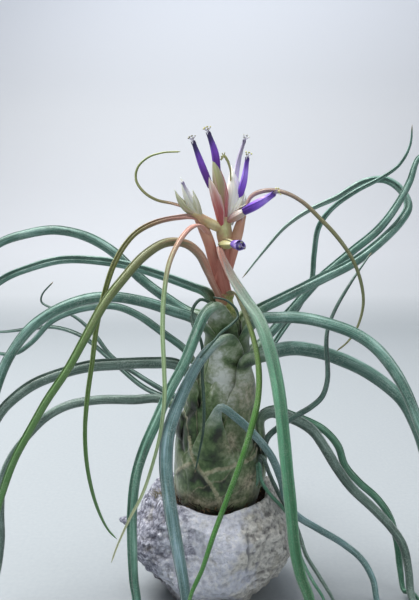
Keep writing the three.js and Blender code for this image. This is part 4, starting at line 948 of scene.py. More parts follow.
# %% The bracts
# Each: name, the way it faces, widths, colours from root to tip, the stops seen, the tail, and its clasp.
BRACTS = [
    ("bract_olive_long", -150, [4.4, 5, 5.4, 5.2, 4.8, 4.4, 4, 3.2, 1],
     [(0.0, "#b8705c"), (0.06, "#bb7d66"), (0.12, "#a58062"), (0.19, "#6b6a40"), (0.3, "#727c4a"),
     (0.48, "#5a8040"), (0.75, "#4f8246"), (1.0, "#5d8a60")],
     [[5, 158, 2], [1.5, 166, 4], [-1.3, 173.5, 5.5], [-5.5, 182, 9], [-13, 188, 14], [-24, 188.5, 21],
     [-36, 181.3, 29], [-48, 168, 37], [-58, 155, 43], [-68, 137, 50], [-78, 119, 55], [-90, 101, 59],
     [-99, 85, 62], [-107, 70, 64], [-113, 54, 66], [-117, 40, 68]],
     [[-96, -74, 46], [-100, -80, 24], [-104, -88, 10]]),
    ("bract_left_thin", 180, [2.8, 3.2, 3.2, 3, 2.8, 2.4, 2, 0.9],
     [(0.0, "#a8665c"), (0.08, "#97695a"), (0.2, "#75703c"), (0.4, "#667832"), (0.7, "#5a843c"),
     (1.0, "#6f9a66")],
     [[-4, 199.5, 2], [-9, 202.6, 5], [-18, 202.3, 8], [-30, 199.6, 13], [-40, 194.3, 19], [-47, 186.5, 24],
     [-53, 175.5, 28], [-58, 160, 31], [-62, 143, 35], [-64.5, 123, 39], [-67, 105, 41], [-68.5, 85, 42],
     [-67.2, 65, 40], [-62.5, 45, 36], [-56, 31, 32], [-51, 25.5, 30]], []),
    ("bract_pale_thin", -120, [2.6, 3, 2.8, 2.6, 2.4, 2, 1.6, 0.9],
     [(0.0, "#d08f7e"), (0.13, "#d9a090"), (0.22, "#b9a585"), (0.34, "#8fae7c"), (0.75, "#93ab7f"),
     (1.0, "#cfd0a8")],
     [[-1, 193, 3], [-5, 197.6, 9], [-9.5, 197.2, 17], [-14.5, 192.3, 25], [-19, 185, 31], [-22.5, 176, 36],
     [-25, 160, 42], [-25.8, 140, 50], [-25, 120, 57], [-24.7, 104, 62], [-27, 84, 66], [-31.5, 66, 69],
     [-37, 50, 71], [-44.5, 35.5, 72], [-51, 21, 71], [-54, 12.5, 70]], []),
    ("bract_right_broad", -110, [3, 4.6, 7, 7.4, 7.1, 6.7, 6.1, 5, 1],
     [(0.0, "#b5705f"), (0.065, "#c08474"), (0.1, "#b09488"), (0.14, "#86998c"), (0.3, "#5c8c74"),
     (0.5, "#559a74"), (0.72, "#47865c"), (1.0, "#4f8058")],
     [[8, 177, 0], [6.6, 183.5, 3.5], [5.6, 185.3, 7], [6.6, 181.5, 10], [12, 170, 14.5], [20, 157, 23],
     [27, 146.5, 32], [32, 133.5, 40], [36, 118, 46], [39, 100, 52], [41, 80, 56], [43, 60, 58], [45, 40, 59],
     [47, 20, 59], [50, 6, 59], [55, -8, 60]],
     [[47, -63, 12], [50, -69, 4.5], [55, -80, 2.4], [60, -94, 1.4]], 1.2, 66, 30),
    ("bract_left_curled", 180, [1.8, 1.7, 1.5, 1.2, 0.9],
     [(0.0, "#c08a80"), (0.15, "#ad8374"), (0.35, "#8d8a58"), (0.7, "#86985a"), (1.0, "#b0b86c")],
     [[-6, 204, -1], [-12, 207.3, 2], [-20, 210, 3], [-29, 212, 3], [-36, 216.3, 2], [-40.4, 223, 0],
     [-39.5, 229.8, -2], [-34, 235.3, -4], [-26, 238, -5], [-16, 238.6, -6]], []),
    ("bract_right_thin", 0, [3, 2.6, 2.4, 2.4, 2.2, 1.8, 1.4, 0.9],
     [(0.0, "#c58a7a"), (0.08, "#b88c7c"), (0.2, "#a3897c"), (0.4, "#7f7a54"), (0.7, "#727a4e"),
     (1.0, "#8a8a5c")],
     [[17.5, 199, 1], [19.5, 206.5, 3], [23, 214, 4], [31, 217.2, 6], [41, 216.2, 8], [51, 211, 10],
     [61, 201.6, 12], [70, 192, 14], [78, 180.5, 15], [83, 168, 15], [84.6, 155, 14], [81.3, 142, 13],
     [76, 134, 12], [70, 129, 12]], []),
    ("bract_green_front", -70, [2.2, 2.6, 3.2, 3.6, 3.4, 3, 2.6, 2, 0.9],
     [(0.0, "#9a8a5a"), (0.08, "#7f8a48"), (0.2, "#58792a"), (0.45, "#38721a"), (0.75, "#3c7f2c"),
     (1.0, "#5a8f4c")],
     [[9.5, 160, 3], [13.5, 161, 9], [17, 155.5, 14], [20.5, 147, 21], [24.5, 134.5, 30], [27, 120, 38],
     [26.7, 103, 46], [22.5, 85, 53], [16.5, 66, 58], [9, 46, 62], [2, 27, 65], [-4, 9, 67], [-11, -8, 68]],
     [[-9.6, -71, 18], [-13.5, -75, 6]]),
]
print(len(BRACTS), "bracts")


# %% The bract material: a ramp along the bract, under lines and dust
def bract_material(name, stops):
    finish = Finish(name + "_finish", Sheen_Weight=0.2, Specular_IOR_Level=0.5)
    lines, spots, share = finish.lines(2.4), finish.spots(90.0), finish.field("share")
    colour = ramp(share + (lines["Streaks"] - 0.5) * 0.09, *stops)
    shade = lines["Lines"] * 0.42 + 0.72
    grey = node("CombineColor", {"Red": shade, "Green": shade, "Blue": shade})
    colour = mixed(1.0, colour, grey, "MULTIPLY")
    young = 1.0 - stepped(share, 0.06, 0.2)
    colour = mixed(young * lines["Streaks"] * 0.3, colour, tint("#e6cfc8"))
    # Painted shade in the channel and along the back, which turns down as the bract arches.
    colour = mixed(finish.field("groove") * 0.15, colour, tint("#3c4426"))
    colour = mixed(finish.field("back") * 0.35, colour, tint("#2c3a26"))
    colour = mixed(finish.dust(0.16), colour, tint("#d8dccb"))
    return finish.done(colour, lines["Lines"] + spots["Small"] * 0.4, Roughness=spots["Small"] * 0.2 + 0.42)


CLASP = (1.5, 22.0)  # how much a bract flares at its root, and how far that reaches
CLASP_ROUND = 6.0  # the radius of what it clasps
for name, azimuth, wide, colours, stops, tail, *clasp in BRACTS:
    route = np.vstack([seen(stops), np.array(tail, float).reshape(-1, 3)])
    rings, fields = blade(route, wide, outward(azimuth), CLASP_ROUND, *(clasp or CLASP))
    fields.pop("flat")
    slot = "bract_olive" if name == "bract_olive_long" else "bract_green"
    add_piece(name + "_skin", [tube(rings, **fields)], bract_material(name, colours), slot, name)

# %% [markdown]
# ## The forked stalk
# The stalk is short and fleshy, pink-red, with a swollen yellow-green head where the spikes part. Each
# branch is a round stem of changing radius, with shallow ribs where bracts run down into it.

# %% Build the stalk
STALK = [  # each branch: its radii from root to tip, and its stops
    ([3.4, 4.6, 4.5, 3.8, 2.6], [[8.8, 150, 0], [7.8, 159, 0], [6.4, 167, 0], [5, 174, 0], [4, 180, 0]]),
    ([3, 3.1, 3.1, 3, 2], [[5.8, 167, 0], [2.8, 177, 0.5], [0, 188, 1], [-3.6, 197, 1], [-7.5, 204.5, 0]]),
    ([2.8, 2.9, 3, 2.9, 1.8],
     [[8.5, 168, 0], [11.3, 179, 0.5], [14.4, 190, 1], [16.6, 198, 1], [18.5, 204, 1]]),
    ([2.2, 3.2, 4.3, 3], [[9.6, 177, 0], [8.8, 187, 0.5], [8, 195.5, 0.5], [8.4, 202.5, 0]]),
    ([2.6, 2.8, 2.6, 2.1], [[7.4, 196, 1], [1.5, 198.6, 2.5], [-4, 201.6, 3.5], [-9.6, 205.4, 4]]),
]
HEAD_RIGHT, HEAD_HEIGHT = 8, 196.5  # the middle of the yellow-green head

finish = Finish("stalk_flesh", Sheen_Weight=0.08)
lines, spots = finish.lines(1.8), finish.spots(150.0)
height = node("SeparateXYZ", {0: finish.place}, "Z")
flesh = ramp(stepped(height + (spots["Large"] - 0.5) * 0.012, 0.150, 0.206),
             (0.0, "#b08a66"), (0.12, "#ae6256"), (0.5, "#bb7466"), (0.72, "#bf8672"), (1.0, "#c5997e"))
flesh = mixed(lines["Streaks"] * 0.5, flesh, tint("#d8a494"))
head = ramp(spots["Large"], (0.0, "#b5a07c"), (0.3, "#b9b882"), (1.0, "#d8d6aa"))
flesh = mixed(finish.field("head"), flesh, head)

stalk_parts = []
for order, (radii, stops) in enumerate(STALK):
    part = stem(seen(stops), radii, ribs=5)
    x, y, z = part["points"].T
    near_head = np.exp(-(((x - HEAD_RIGHT) / 6) ** 2) - ((z - HEAD_HEIGHT) / 5.5) ** 2)
    part["values"]["head"] = {3: np.clip(1.5 * near_head, 0, 1), 4: 0.75 + 0 * z}.get(order, 0.6 * near_head)
    stalk_parts.append(part)
add_piece("stalk_flesh", stalk_parts, finish.done(flesh, lines["Lines"], strength=0.35), "stalk_pink",
          "flower_stalk")

# %% [markdown]
# ## Flower spikes
# A spike holds a few floral bracts. Each is a sheet folded like a boat along its keel, clasps the one above
# it, and ends in a point, so it is modelled as a closed sheet round 236 degrees of its own route. Their
# colours run between olive green, pink and a glassy white, so two values per bract, rosy and pale, mix all
# of them.

# %% Build the spikes
# Each bract: width, the way its keel faces, rosy at foot and tip, pale at foot and tip, and its stops.
SPIKES = {
    "spike_left": [
        (5.8, 180, (0.35, 0.0), (0.2, 0.4),
         [[-6.4, 203.6, 4], [-12, 207.6, 5], [-16, 212.6, 5.5], [-19.2, 218, 5.5]]),
        (5.2, -20, (0.15, 0.0), (0.3, 0.5), [[-4.8, 202.6, 4], [-7.2, 208.5, 4.5], [-9.4, 217.6, 5]]),
        (5, -90, (0.3, 0.0), (0.5, 1.0),
         [[-5.5, 203, 4.5], [-10, 208.5, 4.5], [-13, 215.5, 4.5], [-15.8, 224.5, 4.5]]),
    ],
    "spike_centre": [
        (9, 180, (1.0, 0.7), (-0.1, 0.75),
         [[7, 198, 2], [6.4, 207.5, 3.4], [3.9, 216, 3.4], [-1.6, 227.5, 2.6]]),
        (6.2, 0, (1.0, 0.7), (0.1, 0.3), [[8.2, 199.5, 0], [7.9, 210.5, 0], [7, 220, 0], [5, 231, 0.5]]),
        (7.8, -90, (0.7, 0.0), (0.0, 0.3),
         [[6.8, 207, 2.4], [5.8, 214.5, 3.2], [4.8, 222, 3.6], [1.9, 236, 3]]),
    ],
    "spike_right_pale": [
        (11.4, -90, (0.3, 0.0), (0.9, 1.1),
         [[10.4, 198.5, -2], [12.4, 209, -3], [13.4, 219, -3.5], [12, 231, -4.5]]),
        (6.6, -60, (0.6, 0.25), (0.45, 0.9), [[11, 200.5, 0], [15.2, 208.8, -0.5], [19.4, 216, -1.5]]),
        (5.4, 0, (0.5, 0.3), (0.4, 0.7), [[12.6, 201, -3], [17.4, 207.5, -3.5], [20, 214.5, -4]]),
    ],
    "spike_right_low": [
        (6.4, -90, (0.85, 0.5), (0.3, 0.7), [[10.2, 200.4, 2], [16.2, 203.9, 4.5], [22.6, 207.5, 8]]),
        (5.4, 90, (0.6, 0.3), (0.4, 0.8), [[11, 201.2, 1], [17, 205.7, 3], [25, 211.4, 6]]),
    ],
    "spike_front_bud": [
        (6, 180, (0.0, 0.0), (0.0, 0.4), [[5.8, 187.8, 4], [9.4, 187.3, 9], [13.8, 187.3, 15]]),
        (5.6, 0, (0.0, 0.1), (0.0, 0.5), [[8.5, 189, 4], [11, 188.3, 9.5], [14.4, 187.4, 16]]),
    ],
}
BOAT_RADII = [0.44, 0.74, 0.78, 0.52, 0.05]
BOAT_OPEN = np.radians(118)
BOAT_WALL = 0.3


def floral_bract(wide, keel, rosy, pale, stops):
    """A sheet round a route: columns t go round the keel, and the radius grows by 0.16 exp(-(t / 0.3)^2) at
    the keel. Its edges draw in towards the tip."""
    points, along = smooth_route(seen(stops), 0.5)
    ahead, outs, aside = framed(points, outward(keel))
    s = (along / along[-1])[:, None]
    drawn_in = 0.35 * ease(s, 0.6, 1)
    t = np.linspace(-1, 1, 25)[None, :] * BOAT_OPEN * (1 - drawn_in)
    radius = wide / 2 * spread(s, BOAT_RADII)

    def sheet(inset):
        away = np.maximum(radius - inset, 0.03) * (1 + 0.16 * np.exp(-((t / 0.3) ** 2)))
        return carried(points, outs, away * np.cos(t), aside, away * np.sin(t))

    edge = ease(np.abs(t) / BOAT_OPEN + drawn_in, 0.72, 1.0)
    return shell(sheet(0), sheet(BOAT_WALL), margin=edge, along=along[:, None], across=radius * t,
                 rosy=rosy[0] + (rosy[1] - rosy[0]) * s, pale=pale[0] + (pale[1] - pale[0]) * s)


def floral_material(name, green, pink, white):
    finish = Finish(name, Roughness=0.42, Sheen_Weight=0.1, Specular_IOR_Level=0.45, Subsurface_Weight=0.15,
                    Subsurface_Radius=(0.003, 0.002, 0.001))
    lines = finish.lines(3.0)
    wander = (lines["Streaks"] - 0.5) * 0.36
    rosy, pale = (stepped(finish.field(value) + wander, 0.05, 0.95) for value in ("rosy", "pale"))
    colour = mixed(pale, mixed(rosy, tint(green), tint(pink)), tint(white))
    colour = mixed((1.0 - lines["Lines"]) * 0.3, colour, tint("#7d7648"))
    colour = mixed(finish.paper() * 0.35, colour, tint("#ece6d6"))
    return finish.done(colour, lines["Lines"], 0.0002)


rosy_bract = floral_material("floral_bract", "#a3ab78", "#b54a58", "#f7faf4")
bud_bract = floral_material("bud_bract", "#b0ac74", "#b98a70", "#e0dec2")
for name, bracts in SPIKES.items():
    add_piece(name + "_bracts", [floral_bract(*bract) for bract in bracts],
              bud_bract if name == "spike_front_bud" else rosy_bract, "spike_pink", name)

# %% [markdown]
# ## Flowers
# A flower is a narrow tube of three petals, each rolled round part of the next, whose tips bend out a
# little. Thread-like stamens stand out of its mouth. The fresh petals run from violet to lilac and end nearly
# black, and the faded ones are pale.

# %% Build the petals
FLOWERS = [  # name, look, width, stops, how many stamens it shows, and the colour of their anthers
    ("left_bud", "glass", 2.2, [[-8.5, 209.5, 5], [-11.5, 215, 5.5], [-14.5, 221, 6]], 0, ""),
    ("centre_left", "violet", 3.7, [[0.6, 219, 2], [-4.4, 231.5, 3], [-8.8, 243.5, 4]], 5, "#2c2838"),
    ("centre_right", "violet", 4, [[4.4, 225.5, 2], [2.9, 238, 3], [-0.5, 248.5, 4]], 5, "#a9a23c"),
    ("right_faded", "faded", 2.6, [[14, 220, -4], [16, 234, -3.5], [19, 244, -3]], 4, "#c4c8cc"),
    ("right_upper", "lilac", 3.7, [[14.4, 208.5, -2.8], [18.6, 221.5, 0], [20.7, 234.5, 1.5]], 4, "#b7b83e"),
    ("right_low", "lilac", 4.8, [[19, 205.7, 6.5], [27.2, 210.3, 11.5], [35.2, 215.3, 15]], 5, "#d0ca6a"),
    ("front", "ring", 4.3, [[13, 187.8, 15], [15.2, 187.4, 20], [16.8, 187, 26]], 3, "#4a4658"),
]
TUBE_RADII, RING_RADII = [0.42, 0.5, 0.5, 0.4, 0.26], [0.4, 0.5, 0.56, 0.58, 0.58]
PETALS = 3
PETAL_SPAN = np.radians(82)  # half the angle that a petal takes
PETAL_WALL = 0.22
PETAL_TIP = 1.1
PETAL_TWIST = np.radians(35)


def petal(stops, wide, order, radii):
    """A strip round the tube's axis: turn = third + twist s + span t, t from -1 to 1, a little further out at
    one edge than at the other so that each petal tucks under the next, and drawn to a rounded tip."""
    points, along = smooth_route(stops, 0.45)
    ahead, outs, aside = framed(points, (0, -1, 0))
    s = (along / along[-1])[:, None]
    t = np.linspace(-1, 1, 21)[None, :]
    narrow = np.sqrt(np.clip(1 - (ease(s, 0.82, 1.0) * 0.985) ** 2, 0.02, 1))
    turn = 2 * np.pi * order / PETALS + PETAL_TWIST * s + PETAL_SPAN * t * narrow
    radius = wide * spread(s, radii)
    bell = 0.25 * ease(s, 0.9, 1.0)
    beyond = PETAL_TIP * ease(s, 0.8, 1.0)

    def sheet(inset):
        away = np.maximum(radius + bell + 0.16 * t - inset, 0.05)
        return (carried(points, outs, away * np.cos(turn), aside, away * np.sin(turn))
                + beyond[..., None] * ahead[:, None])

    return shell(sheet(0), sheet(PETAL_WALL), share=s, along=along[:, None], across=radius * turn,
                 margin=np.abs(t) * np.ones_like(s))


def petal_material(look, stops, roughness):
    finish = Finish("petal_" + look, Roughness=roughness, Sheen_Weight=0.04, Subsurface_Weight=0.1,
                    Subsurface_Radius=(0.001, 0.0006, 0.002))
    lines = finish.lines(3.2)
    colour = ramp(finish.field("share") + (lines["Streaks"] - 0.5) * 0.16, *stops)
    colour = mixed(lines["Lines"] * 0.12, colour, tint("#c3b2ee"))
    colour = mixed(stepped(finish.field("margin"), 0.86, 1.0) * 0.35, colour, tint("#2a1266"))
    return finish.done(colour, lines["Lines"], 0.0002, 0.35)


PETAL_COLOURS = {  # each look's ramp, from the petal's foot to its lip
    "violet": [(0.0, "#55147a"), (0.3, "#601f96"), (0.52, "#7a3cc0"), (0.72, "#6a38b2"), (0.85, "#2c1662"),
               (1.0, "#160a30")],
    "lilac": [(0.0, "#451680"), (0.18, "#5520a0"), (0.45, "#8a5ade"), (0.74, "#ac8ef4"), (0.9, "#683eb2"),
              (1.0, "#38205c")],
    "ring": [(0.0, "#6a44b0"), (0.5, "#7d5cc8"), (0.88, "#b9abe6"), (0.97, "#8a70cc"), (1.0, "#5a44a0")],
    "glass": [(0.0, "#dfe2d6"), (0.5, "#e6e8e4"), (0.85, "#b9b2c8"), (1.0, "#6a5f8a")],
    "faded": [(0.0, "#e4e0ec"), (0.4, "#d0c8e0"), (0.75, "#b2aac0"), (1.0, "#7c768a")],
}
DRY_PETALS = {"glass": 0.5, "faded": 0.6}  # how rough the faded looks are; the others are 0.4
petal_looks = {look: petal_material(look, stops, DRY_PETALS.get(look, 0.4))
               for look, stops in PETAL_COLOURS.items()}
for name, look, wide, stops, count, anther in FLOWERS:
    stops = seen(stops)
    radii = RING_RADII if look == "ring" else TUBE_RADII
    strips = [petal(stops, wide, order, radii) for order in range(PETALS)]
    if look == "ring":  # the pale style fills the mouth of the flower that faces the eye
        style = stem(stops[1:] + [0, 0.4, 0], [1.6, 1.8, 1.8, 1.0], 16, 0.5)
        style["values"]["share"] = np.full(len(style["points"]), 0.86)
        strips.append(style)
    add_piece(f"petals_{name}_skin", strips, petal_looks[look],
              "petal_faded" if look in DRY_PETALS else "petal_violet", "petals_" + name)

# %% Build the stamens: a filament each, and an anther across its end
FILAMENT = 0.17
STAMEN_REACH = 3.6
STAMEN_SPREAD = 2.1


def stamen_material(name, anther):
    finish = Finish(name + "_finish", Roughness=0.6)
    spots = finish.spots(500.0)
    thread = ramp(spots["Large"], (0.0, "#6a5a86"), (1.0, "#b9b3c6"))
    pollen = mixed(spots["Small"] * 0.5, tint(anther), tint("#e6e6b0"))
    return finish.done(mixed(finish.field("anther"), thread, pollen), spots["Small"], 0.0002, 0.5)


def stamens(stops, count):
    """Filaments from inside the tube, spread evenly round it, each with a spindle for an anther."""
    points = smooth_route(seen(stops), 0.6)[0]
    way, out, side = (ways[-1] for ways in framed(points, (0, -1, 0)))
    mouth, inside = points[-1], points[int(0.72 * len(points))]
    parts = []
    for i in range(count):
        turn = 2 * np.pi * (i + 0.25) / count
        lean = out * np.cos(turn) + side * np.sin(turn)
        reach = STAMEN_REACH - 0.55 * (i % 3)
        tip = mouth + way * reach + lean * STAMEN_SPREAD * (0.6 + 0.4 * ((i * 5) % 3) / 2)
        neck = mouth + way * (0.45 * reach) + lean * 0.5
        thread = [inside + lean * 0.3, mouth + lean * 0.35, neck, tip]
        parts.append(stem(thread, [FILAMENT] * 4, 6, 0.7, anther=0.0))
        across = np.cross(way, lean)
        grain = [tip - across * 0.7 - way * 0.15, tip + way * 0.2, tip + across * 0.7 - way * 0.15]
        parts.append(stem(grain, [0.12, 0.36, 0.38, 0.36, 0.12], 8, 0.3, out=way, anther=1.0))
    return parts


for flower, look, wide, stops, count, anther in FLOWERS:
    if count:
        name = "stamens_" + flower
        add_piece(name + "_skin", stamens(stops, count), stamen_material(name, anther), "stamen_yellow", name)

# %% Build the withered style that curls over between the middle spikes
style_stops = seen([[11.8, 219, -2], [11.6, 225, -1], [11.4, 229, 0], [9.9, 233.6, 1], [7.9, 236.3, 1.5],
                    [6.2, 234, 2]])
style_parts = [stem(style_stops, [0.4, 0.45, 0.5, 0.7, 0.8, 0.5], 10, 0.6, anther=0.9)]
start = style_stops[4]
for dx, dz in [(-1.0, 1.6), (0.6, 1.9), (-1.6, -0.4)]:
    lobe = [start, start + [dx * 0.6, -0.4, dz * 0.5], start + [dx, -0.6, dz]]
    style_parts.append(stem(lobe, [0.32, 0.3, 0.22], 7, 0.5, anther=1.0))
add_piece("withered_style", style_parts, stamen_material("withered_style", "#8f9440"), "stamen_yellow")

# %% [markdown]
# ## The stone
# The stone is one natural lump: flat faces that meet in soft edges, an undercut below, a small knob on its
# left and a hollow on top. It is a ring profile carried round its axis. At each angle the profile is clipped
# by the faces. Then slabs, flakes, grit and pits move it in or out, most where the rock is coarse, and on
# the front a smooth face breaks off in an upright ledge. What lies deeper than the stone round it is
# darkened with painted shade, and so, in part, are its foot and the inside of its hollow.

# %% The stone's form
STONE_ROWS = np.array([  # height, radius, and how rough it is there
    [0, 14, 0], [0, 20, 0.3], [2.5, 27, 0.7], [8, 38, 1], [15, 46, 1], [24, 48, 1], [33, 47, 1], [41, 43, 1],
    [48.5, 36.5, 0.9], [54.2, 31.5, 0.6], [53.2, 28, 0.4], [47, 26.4, 0.3], [41, 21.5, 0.2], [36, 16.5, 0.1],
    [33.2, 10, 0]])
STONE_FOOT_ROWS = 2
STONE_RIM_ROW = 9
STONE_FACES = [  # the way a face looks, its tilt, and its distance from the middle
    (-112, 7, 38.5), (-58, -4, 39), (180, 4, 40.5), (-4, 7, 40.5), (48, -3, 39), (97, 6, 41), (146, -5, 39.5),
    (-142, -36, 33.5), (-34, -40, 34), (-90, -48, 33), (35, -38, 35), (120, -42, 34), (168, -34, 35),
    (-160, 38, 41), (20, 40, 42), (-75, 34, 42), (90, 36, 42)]
STONE_MIDDLE_HEIGHT = 27
STONE_LEAN, HOLLOW_LEAN = 2.1, 3.5
KNOB_AZIMUTH, KNOB_HEIGHT, KNOB_REACH, KNOB_SPREAD, KNOB_AWAY = 178, 35.5, 11.5, 4.6, 40
STONE_TURNS, STONE_LEVELS = 430, 226
RIM_FRONT_RISE = 1.3
LEDGE_AZIMUTH = 291  # where the smooth front face breaks off in an upright ledge


def face_reach(turn, z):
    """How far out the nearest flat face lets the stone reach. The faces' reaches r are joined softly, as the
    sum of r^-26 to the power -1/26, so that they meet in worn edges."""
    total = np.zeros(np.broadcast(turn, z).shape)
    for azimuth, tilt, away in STONE_FACES:
        towards = np.cos(np.radians(tilt)) * np.cos(turn - np.radians(azimuth))
        reach = (away - (z - STONE_MIDDLE_HEIGHT) * np.sin(np.radians(tilt))) / np.maximum(towards, 0.05)
        total = total + np.where(towards > 0.05, np.maximum(reach, 1), 1e3) ** -26.0
    return total ** (-1 / 26)


def stone_lump(turn, z):
    """Slow waves round the stone and up it, in mm."""
    return 1.3 * (0.42 * np.sin(2 * turn + 0.6) + 0.4 * np.sin(3 * turn + 1.9 + z / 13)
                  + 0.34 * np.sin(5 * turn - z / 7) + 0.24 * np.sin(8 * turn + 2.2 + z / 4.5))


def broken(points, size, seed):
    """Broken faces, from 0 to 1: noise cut into steps, flat for most of each and steep for the rest."""
    bent = points + 0.35 * size * at(*(lumps(points, 0.8 * size, seed + k) for k in (50, 60, 70)))
    height = 2.8 * lumps(bent, size, seed)
    step = np.floor(height)
    return (step + ease(height - step, 0.8, 1.0)) / 2.8


def blurred(values, reach):
    """The mean over `reach` places either way, round the stone and up it."""
    count = 2 * reach + 1
    round_it = sum(np.roll(values, k, axis=1) for k in range(-reach, reach + 1)) / count
    padded = np.pad(round_it, ((reach, reach), (0, 0)), "edge")
    return sum(padded[k:k + len(values)] for k in range(count)) / count


def knob(turn, z):
    """The small knob: 11.5 exp(-(distance / 4.6)^2) on the side that faces left."""
    aside = KNOB_AWAY * np.sin(turn - np.radians(KNOB_AZIMUTH))
    facing = np.cos(turn - np.radians(KNOB_AZIMUTH)) > 0
    return facing * KNOB_REACH * np.exp(-(aside**2 + (z - KNOB_HEIGHT) ** 2) / KNOB_SPREAD**2)


row_place = np.concatenate([[0], np.cumsum(np.linalg.norm(np.diff(STONE_ROWS[:, :2], axis=0), axis=1))])
level = np.linspace(0, row_place[-1], STONE_LEVELS)[:, None]
turn = np.linspace(0, 2 * np.pi, STONE_TURNS, endpoint=False)[None, :]
z = np.interp(level, row_place, STONE_ROWS[:, 0])
radius = np.interp(level, row_place, STONE_ROWS[:, 1])
rough = np.interp(level, row_place, STONE_ROWS[:, 2])
in_foot = ease(level, row_place[STONE_FOOT_ROWS - 1], row_place[STONE_FOOT_ROWS])
in_hollow = ease(level, row_place[STONE_RIM_ROW], row_place[STONE_RIM_ROW + 1])
reach = face_reach(turn, z)
clipped = np.where(in_hollow > 0.5, radius, np.where(in_foot < 0.5, radius, np.minimum(radius, reach)))
away = clipped + rough * stone_lump(turn, z) + knob(turn, z) * (in_hollow < 0.5)
rise = (1.2 * np.cos(2 * turn) + 0.9 * np.sin(5 * turn)) * ease(z, 44, 52)
rise = rise + RIM_FRONT_RISE * np.exp(-(((np.degrees(turn) - 268) / 42) ** 2)) * ease(z, 36, 51)
middle = in_foot * (STONE_LEAN + (HOLLOW_LEAN - STONE_LEAN) * in_hollow)
plain = at(middle + away * np.cos(turn), away * np.sin(turn), z + rise)

# %% The stone's grit and pits, along its own normals
across_way = np.roll(plain, -1, axis=1) - np.roll(plain, 1, axis=1)
up_way = np.gradient(plain, axis=0)
normal = np.cross(across_way, up_way)
normal /= np.maximum(np.linalg.norm(normal, axis=-1), 1e-6)[..., None]
coarse = np.clip(0.2 + ease(-plain[..., 0], 8, 26) + 0.6 * ease(-plain[..., 2], -24, -6)
                 + 0.7 * ease(plain[..., 0], 16, 24), 0, 1)
grit = 0.45 * lumps(plain, 1.6, 11) + 0.3 * lumps(plain, 0.9, 12)
flakes = broken(plain * [1, 1, 2.0], 5.0, 18)
slabs = 0.3 * lumps(plain, 7.0, 13) + 0.7 * broken(plain * [1, 1, 1.5], 12.0, 17)
azimuth = np.degrees(turn) + 5 * broken(plain, 5.0, 19) + 1.5 * lumps(plain, 1.8, 20)
ledge = 2.6 * ease(azimuth, 258, 280) * (1 - ease(azimuth, LEDGE_AZIMUTH - 3.0, LEDGE_AZIMUTH + 3.0))
ledge = ledge * ease(z, 20, 38) * (1 - ease(z, 42, 53))
pits = ease(lumps(plain, 3.4, 15), 0.45, 0.8) + 0.6 * ease(lumps(plain, 1.9, 16), 0.5, 0.8)
relief = (slabs * (0.45 + 0.55 * coarse) + 1.15 * flakes * coarse + grit * (0.12 + 0.6 * coarse)
          - (0.15 + 0.3 * coarse) * pits + ledge)
relief = relief * np.clip(rough * 1.2, 0, 1) * ease(level, row_place[1], row_place[3])
# How much deeper a place lies than the stone round it: the mask of its painted shade.
sunken = np.clip(0.12 + (blurred(relief, 4) - relief) / 0.65, 0, 1)
stone_points = plain + normal * relief[..., None]
stone_points[..., 2] = np.maximum(stone_points[..., 2], 0)


# %% The stone's finish
finish = Finish("stone_grit", Roughness=0.92, Specular_IOR_Level=0.2)
spots, place = finish.spots(55.0), finish.place
side = node("SeparateXYZ", {0: place})
bent = (noise(place, 300.0, 3.0) - 0.5) * 0.006
flat_place = node("CombineXYZ", {"X": side["X"] + bent, "Y": side["Y"], "Z": (side["Z"] + bent) * 2.0})
chips = node("TexVoronoi", {"Vector": flat_place, "Scale": 330.0})
chip = node("SeparateColor", {0: chips["Color"]})
grains = stepped(noise(place, 520.0, 5.0, 0.62), 0.3, 0.7) * 0.55 + chip * 0.45
sand = stepped(noise(place, 2600.0, 2.0, 0.6), 0.35, 0.65)
pale = ramp(grains, (0.0, "#ccd0e0"), (0.5, "#e9ecf8"), (1.0, "#fcfcff"))
earthy = ramp(grains, (0.1, "#b0ada8"), (0.5, "#e6e4de"), (0.9, "#fffdf7"))
speckled = ramp(grains, (0.1, "#686876"), (0.5, "#adafc0"), (0.9, "#f4f4ff"))
to_right = side["X"] + (spots["Large"] - 0.5) * 0.022
colour = mixed(stepped(to_right, 0.014, 0.024), pale, earthy)
colour = mixed(stepped(to_right * -1.0, 0.012, 0.020), colour, speckled)
colour = mixed(stepped(noise(place, 95.0, 4.0, 0.6), 0.55, 0.7) * 0.45, colour, tint("#a8a28c"))
# Darker, warmer grey towards the foot: partly the grit's own tone there, partly painted shade under the
# bulge.
colour = mixed(stepped(side["Z"] * -1.0, -0.022, -0.002) * 0.55, colour, tint("#8d877c"))
# Painted shade: where the stone lies deeper than round it, it is darkened.
colour = mixed(finish.field("hole") * 0.66, colour, tint("#4e4b54"))
# The hollow's inside is dark brown: partly the soil and roots in it, partly painted shade under the bulb.
soil = ramp(grains, (0.0, "#1c1712"), (1.0, "#54473a"))
colour = mixed(stepped(finish.field("soil"), 0.25, 0.8), colour, soil)
dark_speck = node("Math", {0: chips["Distance"], 1: 0.14}, operation="LESS_THAN")
colour = mixed(dark_speck * 0.22, colour, tint("#6a6770"))
add_piece("stone_rough", [tube(stone_points, hole=sunken * (rough > 0.25),
                               soil=in_hollow * ease(-z * np.ones_like(turn), -53, -47))],
          finish.done(colour, grains * 0.8 + sand * 0.2, 0.0017, 0.8), "stone_grit", "stone")

# %% [markdown]
# ## Roots
# Under the bulb, dark wiry roots fill the gap round it. They are thin three-sided threads that wander up
# from a crumbly mat. The draws come from one seeded generator, so the tangle is the same every time.

# %% Build the root fibres and the tuft on the rim
MAT_RADIUS, MAT_HEIGHT = 24.0, 48.8
STRANDS = 120
draw = np.random.default_rng(7)

